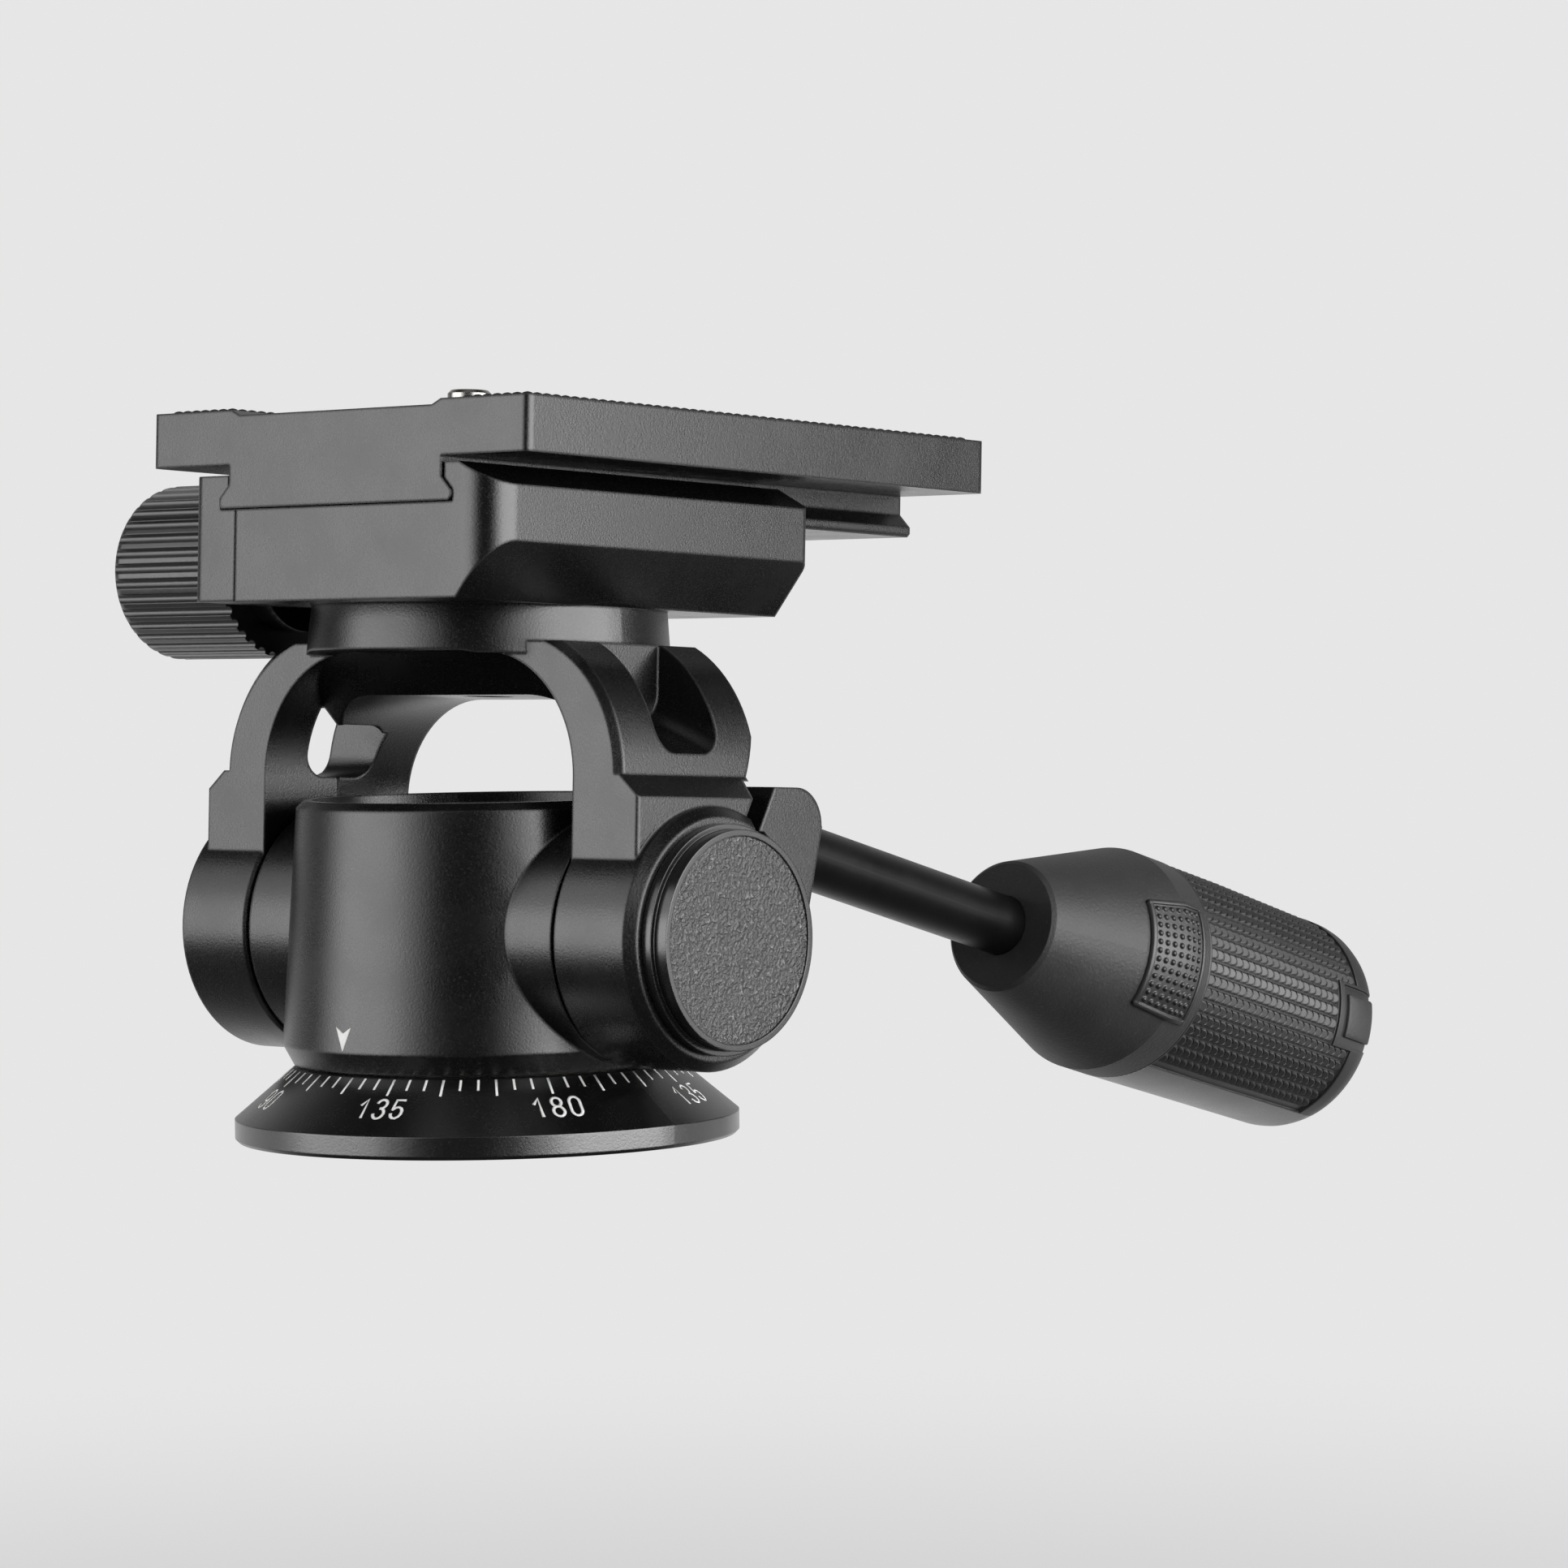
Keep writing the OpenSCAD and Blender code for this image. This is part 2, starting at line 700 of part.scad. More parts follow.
module tilt_cap_right() {
    color(dark_metal) {
        tilt_cap(cap_h);
        at_tilt() difference() {
            x_rod(cap_flange_r, hub_end, hub_end + cap_flange_h);
            x_rod(cap_rim_r - cut, hub_end - cut, hub_end + cap_h);
        }
    }
}

module cap_insert_left() {
    side(-1) cap_insert(cap_low_h);
}

module cap_insert_right() {
    cap_insert(cap_h);
}

// Plan of a leg, or section of its arch, from x_in to x_out with chamfered outer edges
module leg_plan(x_in, x_out, chamfer) {
    polygon([
        [x_in, -leg_y], [x_out - chamfer, -leg_y], [x_out, chamfer - leg_y],
        [x_out, leg_y - chamfer], [x_out - chamfer, leg_y], [x_in, leg_y]
    ]);
}

// Slot of a leg: the right one is blind and its foot slopes up, the left one opens under a lintel
module leg_slot(open) {
    half = slot_w / 2;
    radii = [slot_corner, slot_corner, 0, 0];
    foot = slot_z - slot_drop;
    bend = min(slot_corner, 0.48 * (lintel_z - foot));
    if (open) {
        translate([0, 0, foot]) along_x(0, slot_back + cut)
            soft_rect(-half, 0, half, lintel_z - foot, [bend, bend, bend, bend]);
        translate([0, 0, foot]) along_x(slot_back, far) soft_rect(-half, 0, half, far / 4, radii);
    } else
        difference() {
            translate([leg_out, 0, slot_z]) rotate([0, slot_slope, 0])
                along_x(-2 * leg_t, far / 4) soft_rect(-half, 0, half, far / 4, radii);
            translate([-cut, -slot_w, 0]) cube([slot_back + cut, 2 * slot_w, far]);
        }
}

// Right leg with its ring, block, sloped shoulder and quarter of the arch; the window trims its inside
module leg(open) {
    arch_x = leg_out - arch_out_r;
    difference() {
        union() {
            at_tilt() rotate([0, 90, 0]) rotate_extrude() polygon([
                [0, ring_in - cut], [ring_r - ring_edge - cut, ring_in - cut], [ring_r, ring_in + ring_edge],
                [ring_r, ring_out - ring_chamfer], [ring_r - ring_chamfer, ring_out], [0, ring_out]
            ]);
            intersection() {
                translate([0, 0, tilt_z]) linear_extrude(shoulder_z - tilt_z)
                    leg_plan(ring_in - cut, block_out, block_chamfer);
                along_y(-leg_w, leg_w) polygon([
                    [0, 0], [block_out + cut, 0], [block_out + cut, block_z], [block_out, block_z],
                    [leg_out, shoulder_z], [leg_out, shoulder_z + cut], [0, shoulder_z + cut]
                ]);
            }
            translate([0, 0, tilt_z]) linear_extrude(arch_z - tilt_z)
                leg_plan(ring_in - cut, leg_out, leg_chamfer);
            translate([arch_x, 0, arch_z]) rotate([90, 0, 0]) rotate_extrude(angle = 90)
                leg_plan(0, arch_out_r, leg_chamfer);
            translate([0, -leg_y, arch_z]) cube([arch_x, leg_w, arch_out_r]);
        }
        translate([-cut, -far / 2, prong_z]) cube(far);
        leg_slot(open);
    }
}

// Space under the arch, which a bevel opens out towards the front
module arch_window() {
    along_y(-far / 2, far / 2) soft_rect(
        -ring_in, -cut, ring_in, arch_under_z, [0, 0, arch_rear_r, arch_rear_r]
    );
    intersection() {
        along_y(-far / 2, 0) soft_rect(-ring_in, -cut, ring_in, arch_front_z, [0, 0, arch_in_r, arch_in_r]);
        translate([-far / 2, -leg_y, arch_front_z]) rotate([-arch_bevel, 0, 0])
            translate([0, -far / 2, -far]) cube(far);
    }
}

// Space that leans back from the tilt axis with the slit, from y0 to y1 across it
module slit_space(y0, y1, z0) {
    at_tilt() rotate([-slit_angle, 0, 0]) translate([0, y0, z0]) cube([far, y1 - y0, far]);
}

// Ear behind the slit of the right ring, with its rear face square to the handle
module ear() {
    intersection() {
        at_tilt() rotate([-handle_drop, 0, 0])
            translate([ring_in - cut, 0, ear_low]) cube([block_t + cut, ear_back, far]);
        translate([0, 0, ear_z - far]) cube(far);
        slit_space(slit_rear, far / 2, 0);
        ear_rounding();
    }
}

// Rounds the upper rear corner of the ear
module ear_rounding() {
    rise = ear_z - tilt_z;
    corner_s = ear_back - ear_corner;
    corner_y = (corner_s + (rise - ear_corner) * sin(handle_drop)) / cos(handle_drop);
    union() {
        translate([0, -far / 2, tilt_z + rise - ear_corner - far]) cube(far);
        translate([0, corner_y - far, 0]) cube(far);
        translate([0, corner_y, tilt_z + rise - ear_corner]) x_rod(ear_corner, 0, far);
    }
}

// Slit of the right ring, and the relief that frees the leg above the ear
module slit() {
    intersection() {
        slit_space(slit_front, slit_rear, hub_r / 2);
        translate([ring_in - cut, -far / 2, slit_z - far]) cube([far, far, far]);
    }
    intersection() {
        translate([ring_in - cut, relief_y, ear_z]) rotate([-relief_angle, 0, 0]) cube([far, far, far]);
        translate([0, 0, ear_z]) cube(far);
    }
}

// Children drawn with Z along the handle and the origin abreast of the tilt axis
module on_handle() {
    at_tilt() rotate([-handle_drop, 0, 0]) translate([handle_x, 0, handle_rise])
        rotate([-90, 0, 0]) children();
}

// Feet of the two dowels between the yoke and the clamp
module dowel_places() {
    for (s = [-1, 1]) translate([s * dowel_x, 0, seat_z - dowel_grip]) children();
}

module yoke() {
    color(black_metal) difference() {
        union() {
            for (s = [-1, 1]) side(s) leg(s < 0);
            translate([0, 0, arch_front_z - sunk])
                cylinder(h = seat_h + sunk, r1 = seat_r + seat_flare, r2 = seat_r - seat_flare);
            ear();
        }
        arch_window();
        at_tilt() x_rod(ring_bore_r, -far / 2, far / 2);
        slit();
        on_handle() translate([0, 0, -stud_grip - cut]) cylinder(h = far, r = stud_r + shaft_gap);
        translate([0, 0, arch_z]) cylinder(h = far, r = clamp_screw_r + seat_gap);
        dowel_places() cylinder(h = far, r = dowel_r + seat_gap);
    }
}

// Sleeve in a ring of the yoke, drawn for the right side
module ring_sleeve() {
    at_tilt() difference() {
        x_rod(ring_bore_r - seat_gap, ring_in, ring_out);
        x_rod(hub_r + shaft_gap, ring_in - cut, ring_out + cut);
    }
}

module tilt_bush() {
    color(polymer) side(-1) ring_sleeve();
}

module friction_sleeve() {
    color(polymer) difference() {
        ring_sleeve();
        slit_space(slit_front, slit_rear, 0);
    }
}

// Children drawn about the axis of the clamping screw
module at_knob() {
    translate([0, knob_y, knob_z]) children();
}

module pin_places() {
    for (s = [-1, 1]) translate([0, knob_y + s * pin_pitch, knob_z]) children();
}

// Countersunk screw with its head up in the bed
module clamp_screw_shape(gap) {
    head_h = clamp_head_r - clamp_screw_r;
    end_z = seat_z - clamp_screw_grip;
    translate([0, 0, clamp_head_z - head_h])
        cylinder(h = head_h, r1 = clamp_screw_r + gap, r2 = clamp_head_r + gap);
    translate([0, 0, end_z]) cylinder(h = clamp_head_z - end_z, r = clamp_screw_r + gap);
}

module clamp_body() {
    wall_x = plate_x + jaw_wall_x;
    lip_x = wall_x - neck_inset + lip_gap;
    lip_z = neck_z - lip_gap;
    jaw_z = bed_z + fixed_jaw_h;
    color(black_metal) difference() {
        intersection() {
            along_y(clamp_front, clamp_back) polygon([
                [seam_x, seat_z],
                [fixed_out - under_chamfer_x, seat_z], [fixed_out, seat_z + under_chamfer_z],
                [fixed_out, jaw_z - fixed_bevel], [fixed_out - 2 * fixed_bevel, jaw_z],
                [lip_x, jaw_z], [lip_x, lip_z],
                [wall_x, lip_z - neck_inset + lip_gap], [wall_x, bed_z], [seam_x, bed_z]
            ]);
            linear_extrude(far) soft_rect(
                seam_x - cut, clamp_front, fixed_out, clamp_back, [0, clamp_corner, clamp_rear_corner, 0]
            );
        }
        at_knob() x_rod(knob_screw_r + shaft_gap, seam_x - cut, seam_x + knob_screw_grip + cut);
        pin_places() x_rod(pin_r + seat_gap, seam_x - cut, seam_x + spring_len + pin_grip);
        pin_places() x_rod(spring_r + loose_gap, seam_x - cut, seam_x + spring_len);
        clamp_screw_shape(seat_gap);
        translate([0, 0, clamp_head_z]) cylinder(h = far, r = clamp_head_r + seat_gap);
        dowel_places() cylinder(h = 2 * dowel_grip, r = dowel_r + seat_gap);
    }
}

module clamp_screw() {
    socket_r = clamp_screw_r * 0.75;
    color(steel) difference() {
        clamp_screw_shape(0);
        translate([0, 0, clamp_head_z - clamp_screw_r / 2]) cylinder(h = far, r = socket_r, $fn = 6);
    }
}

module clamp_dowels() {
    color(steel) dowel_places() cylinder(h = 2 * dowel_grip, r = dowel_r);
}

module guide_pins() {
    color(steel) pin_places() x_rod(pin_r, pin_end, seam_x + spring_len + pin_grip);
}

module jaw_springs() {
    color(steel) pin_places() difference() {
        x_rod(spring_r, jaw_in + run_gap, seam_x + spring_len);
        x_rod(pin_r + loose_gap, jaw_in - cut, seam_x + spring_len + cut);
    }
}

module jaw() {
    wall_x = plate_x - jaw_wall_x;
    lip_x = wall_x + neck_inset - lip_gap;
    lip_z = neck_z - lip_gap;
    foot_z = seat_z + run_gap;
    jaw_z = bed_z + moving_jaw_h;
    corner = 2 * jaw_edge;
    color(black_metal) difference() {
        intersection() {
            along_y(clamp_front, clamp_back) polygon([
                [jaw_in, foot_z], [moving_out + jaw_edge, foot_z], [moving_out, foot_z + jaw_edge],
                [moving_out, jaw_z - jaw_edge], [moving_out + jaw_edge, jaw_z],
                [lip_x, jaw_z], [lip_x, lip_z],
                [wall_x, lip_z - neck_inset + lip_gap], [wall_x, bed_z], [jaw_in, bed_z]
            ]);
            linear_extrude(far) soft_rect(
                moving_out, clamp_front, jaw_in + jaw_foot, clamp_back, [corner, 0, 0, corner]
            );
        }
        at_knob() x_rod(knob_screw_r + shaft_gap, moving_out - cut, jaw_in + cut);
        pin_places() x_rod(pin_r + shaft_gap, pin_end - run_gap, jaw_in + cut);
    }
}

module knob() {
    color(black_plastic) at_knob() difference() {
        intersection() {
            translate([knob_out, 0, 0]) rotate([0, 90, 0]) linear_extrude(knob_len) difference() {
                circle(r = knob_r);
                for (i = [1:knob_ribs]) rotate(360 * i / knob_ribs)
                    translate([knob_r, 0]) circle(r = groove_r);
            }
            translate([knob_out, 0, 0]) rotate([0, 90, 0]) rotate_extrude() soft_rect(
                0, 0, knob_r, knob_len, [0, knob_round, 0, 0]
            );
        }
        x_rod(core_r + seat_gap, core_end, knob_in + cut);
        x_rod(knob_screw_r + seat_gap, core_end - cut, core_end + cut);
        x_rod(knob_cap_r + seat_gap, knob_out - cut, knob_out + knob_cap_t);
    }
}

module knob_core() {
    color(bronze) at_knob() difference() {
        x_rod(core_r, core_end, knob_in);
        x_rod(knob_screw_r + seat_gap, core_end - cut, knob_in + cut);
    }
}

module knob_screw() {
    color(steel) at_knob() x_rod(knob_screw_r, core_end, seam_x + knob_screw_grip);
}

module knob_collar() {
    color(dark_metal) at_knob() difference() {
        x_rod(collar_r, knob_in, collar_x);
        x_rod(knob_screw_r + seat_gap, knob_in - cut, collar_x + cut);
    }
}

module knob_cap() {
    color(gloss_black) at_knob() x_rod(knob_cap_r, knob_out, knob_out + knob_cap_t);
}

// Section of the plate with its dovetail and channel, right half
function plate_half() = [
    [dovetail_x - dovetail_chamfer, dovetail_z],
    [dovetail_x, dovetail_z + dovetail_chamfer],
    [dovetail_x, dovetail_z + dovetail_chamfer + dovetail_edge],
    [dovetail_x - neck_inset, neck_z],
    [dovetail_x - neck_inset, slab_z],
    [plate_w / 2, slab_z],
    [plate_w / 2, plate_z],
    [channel_w / 2 + channel_side, plate_z],
    [channel_w / 2, channel_z]
];

module plate() {
    half = plate_half();
    last = len(half) - 1;
    color(black_metal) difference() {
        intersection() {
            translate([plate_x, 0, 0]) along_y(plate_front, plate_front + plate_len) polygon(concat(
                half, [for (i = [last:-1:0]) [-half[i][0], half[i][1]]]
            ));
            linear_extrude(far) soft_rect(
                plate_x - plate_w / 2, plate_front, plate_x + plate_w / 2, plate_front + plate_len,
                [plate_corner, plate_corner, plate_corner, plate_corner]
            );
        }
        at_camera() cylinder(h = far, r = camera_hole_r);
        at_camera() cylinder(h = camera_head_z + camera_head_t + run_gap, r = camera_head_r + loose_gap);
    }
}

// Children drawn about the axis of the camera screw
module at_camera() {
    translate([plate_x, camera_y, 0]) children();
}

module plate_pads() {
    pad_in = channel_w / 2 + channel_side + pad_margin;
    pad_w = plate_w / 2 - pad_margin - pad_in;
    pad_len = plate_len - 2 * pad_margin;
    color(black_rubber) for (s = [0, 1]) translate([plate_x, 0, 0]) mirror([s, 0, 0])
        translate([pad_in, plate_front + pad_margin, plate_z]) cube([pad_w, pad_len, pad_t]);
}

module camera_screw() {
    thread_z = clip_z + clip_t;
    tip_z = plate_z + camera_screw_h;
    tip_chamfer = 0.5;
    slot = 1.6;
    color(steel) at_camera() difference() {
        union() {
            translate([0, 0, camera_head_z]) {
                cylinder(h = camera_head_t, r = camera_head_r);
                cylinder(h = thread_z - camera_head_z + tip_chamfer, r = camera_shank_r);
            }
            translate([0, 0, thread_z]) cylinder(h = tip_z - tip_chamfer - thread_z, r = camera_thread_r);
            translate([0, 0, tip_z - tip_chamfer])
                cylinder(h = tip_chamfer, r1 = camera_thread_r, r2 = camera_thread_r - tip_chamfer);
        }
        translate([-far / 2, -slot / 2, camera_head_z - cut]) cube([far, slot, camera_head_t / 2 + cut]);
    }
}

module screw_clip() {
    color(steel) at_camera() tube(clip_r, camera_shank_r + seat_gap, clip_z, clip_t);
}

module handle_rod() {
    color(gloss_black) on_handle() {
        translate([0, 0, -stud_grip]) cylinder(h = rod_start + stud_grip, r = stud_r);
        translate([0, 0, rod_start]) cylinder(h = rod_end - rod_start, r = rod_r);
    }
}

// Radius of the cone of the grip at a distance s along the handle
function cone_r(s) = grip_front_r + (grip_r - grip_front_r) * (s - grip_start) / (shoulder_s - grip_start);

module grip_body() {
    edge = 0.5;
    color(black_plastic) on_handle() difference() {
        rotate_extrude() polygon([
            [0, grip_start], [grip_front_r - edge, grip_start], [grip_front_r, grip_start + edge],
            [grip_r, shoulder_s], [grip_r, seam_s], [grip_core_r, seam_s],
            [grip_core_r, sleeve_end], [0, sleeve_end]
        ]);
        translate([0, 0, grip_start - cut]) cylinder(h = rod_end - grip_start + cut, r = rod_r + seat_gap);
    }
}

module grip_sleeve() {
    color(black_rubber) on_handle() rotate_extrude() polygon([
        [grip_core_r + seat_gap, seam_s], [grip_r, seam_s], [grip_r, seam_s + sleeve_len / 3],
        [grip_r - sleeve_taper, sleeve_end - sleeve_edge],
        [grip_r - sleeve_taper - sleeve_edge, sleeve_end],
        [grip_core_r + seat_gap, sleeve_end]
    ]);
}

module thumb_pad() {
    end_s = seam_s - thumb_stop;
    start_s = end_s - thumb_len;
    start_r = cone_r(start_s);
    color(black_rubber) on_handle() rotate([0, 0, -thumb_angle / 2])
        rotate_extrude(angle = thumb_angle) polygon([
            [start_r + seat_gap, start_s], [grip_r + seat_gap, shoulder_s], [grip_r + seat_gap, end_s],
            [grip_r + thumb_t, end_s], [grip_r + thumb_t, shoulder_s], [start_r + thumb_t, start_s]
        ]);
}

module grip_cap() {
    cap_r = grip_core_r - sleeve_edge / 2;
    color(black_plastic) on_handle() translate([0, 0, sleeve_end])
        cylinder(h = grip_cap_len, r1 = cap_r, r2 = cap_r - grip_cap_len / 2);
}

base_ring();
pan_spindle();
thread_bush();
flange_screws();
pan_spring_washer();
pan_nut();
drum();
drum_cover();
pan_bush();
drag_ring();
trunnion_left();
trunnion_right();
tilt_bolt();
tilt_nut();
thrust_washers();
tilt_cap_left();
tilt_cap_right();
cap_insert_left();
cap_insert_right();
tipped() yoke();
tipped() tilt_bush();
tipped() friction_sleeve();
tipped() clamp_body();
tipped() clamp_screw();
tipped() clamp_dowels();
tipped() guide_pins();
tipped() jaw_springs();
tipped() jaw();
tipped() knob();
tipped() knob_core();
tipped() knob_screw();
tipped() knob_collar();
tipped() knob_cap();
tipped() plate();
tipped() plate_pads();
tipped() camera_screw();
tipped() screw_clip();
tipped() handle_rod();
tipped() grip_body();
tipped() grip_sleeve();
tipped() thumb_pad();
tipped() grip_cap();
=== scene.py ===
"""Looks of a two-way pan and tilt head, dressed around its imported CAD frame.

Sizes are in millimetres and turn to metres as a mesh is made. The yoke side of the head leans by a
few degrees at rest, so its pieces are modelled level and then tipped about the tilt axis.
"""

import json
import logging
import math
from dataclasses import dataclass
from enum import Enum
from typing import Any, Callable, Sequence

import bpy
from mathutils import Matrix, Vector

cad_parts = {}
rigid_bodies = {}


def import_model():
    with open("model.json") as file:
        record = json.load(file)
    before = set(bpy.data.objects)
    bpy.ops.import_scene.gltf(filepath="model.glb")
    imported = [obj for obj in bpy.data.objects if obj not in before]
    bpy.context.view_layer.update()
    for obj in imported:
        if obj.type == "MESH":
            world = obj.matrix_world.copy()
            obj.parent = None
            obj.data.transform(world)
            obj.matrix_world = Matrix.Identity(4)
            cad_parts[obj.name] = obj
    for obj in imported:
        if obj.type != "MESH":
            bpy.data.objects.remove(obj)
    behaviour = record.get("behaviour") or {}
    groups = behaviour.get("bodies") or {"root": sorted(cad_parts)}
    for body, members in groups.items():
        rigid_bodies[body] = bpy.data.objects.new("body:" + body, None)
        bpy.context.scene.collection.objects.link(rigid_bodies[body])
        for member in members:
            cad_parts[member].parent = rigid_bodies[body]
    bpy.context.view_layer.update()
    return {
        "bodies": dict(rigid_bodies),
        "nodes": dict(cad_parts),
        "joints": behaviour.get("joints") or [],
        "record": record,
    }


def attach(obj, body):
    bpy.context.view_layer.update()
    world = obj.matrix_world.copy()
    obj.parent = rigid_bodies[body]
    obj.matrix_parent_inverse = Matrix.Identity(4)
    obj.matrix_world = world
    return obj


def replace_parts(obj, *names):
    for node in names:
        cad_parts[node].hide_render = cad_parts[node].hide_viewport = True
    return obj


LOG = logging.getLogger("pan_head")
MM = 0.001
Point = Sequence[float]
Steps = tuple[tuple[float, float], ...]
Piece = bpy.types.Object
Tree = bpy.types.NodeTree
Socket = bpy.types.NodeSocket

# Octaves of the fine and the broad noise, and how strongly the fine one's octaves count
FINE_DETAIL = 3.0
BROAD_DETAIL = 4.0
FINE_OCTAVES = 0.6
# Share of the true place that bends the rings of a turned surface
RING_DRIFT = 0.03
# Rays that look for an edge near a point
EDGE_SAMPLES = 6
# Cosine between softened and true normal where edge wear and painted edge highlight begin and are full
EDGE_LIGHTENING = (0.98, 0.80)
# Height of the grain where a painted glint begins and where it is full
GLINT_GRAIN = (0.58, 0.74)
# Sum of both noises at the smoothest and at the roughest place
NOISE_SUM = (0.6, 1.4)
# Change of roughness either way, and the least roughness
ROUGHNESS_CHANGE = 0.05
LEAST_ROUGHNESS = 0.02
# Places of the two colours and of the result among the sockets of a Mix node
MIX_A, MIX_B, MIX_RESULT = 6, 7, 2

FULL_TURN = 360.0
# Corners that are nearer than this are merged, in metres
MERGE = 1e-7
# Heights that differ by less than this count as the same
NEAR = 0.02
# Radius at which a turned section ends instead of on its axis
AXIS_R = 0.001
# Half widths of a thread's foot and crest as shares of its pitch, and steps in one turn
THREAD_FOOT = 0.46
THREAD_CREST = 0.08
THREAD_STEPS = 40
# Degrees in one step of a sector
SECTOR_STEP = 3.0


def linear(hex_colour: str) -> tuple[float, float, float, float]:
    """Turns an sRGB hex colour to linear light.

    Args:
        hex_colour: Six hex digits after a hash sign.

    Returns:
        Red, green, blue and an alpha of one.
    """
    parts = [int(hex_colour[i : i + 2], 16) / 255 for i in (1, 3, 5)]
    light = [c / 12.92 if c <= 0.04045 else ((c + 0.055) / 1.055) ** 2.4 for c in parts]
    return (*light, 1.0)


def add_node(
    tree: Tree, kind: str, inputs: dict[Any, Any] | None = None, **settings: Any
) -> bpy.types.Node:
    """Adds a node with its settings, values and links.

    Args:
        tree: Node tree that gets the node.
        kind: Type name of the node.
        inputs: Socket name or place against a value, or against another node's output to link.
        **settings: Properties of the node itself.

    Returns:
        The new node.
    """
    made = tree.nodes.new(kind)
    for key, value in settings.items():
        setattr(made, key, value)
    for key, value in (inputs or {}).items():
        if isinstance(value, bpy.types.NodeSocket):
            tree.links.new(value, made.inputs[key])
        else:
            made.inputs[key].default_value = value
    return made


class Grain(Enum):
    """How a surface was made, which sets the direction of its grain."""

    EVEN = "the same all ways, as blasting, moulding or casting leaves it"
    TURNED = "rings about the pan axis, as a lathe leaves them"


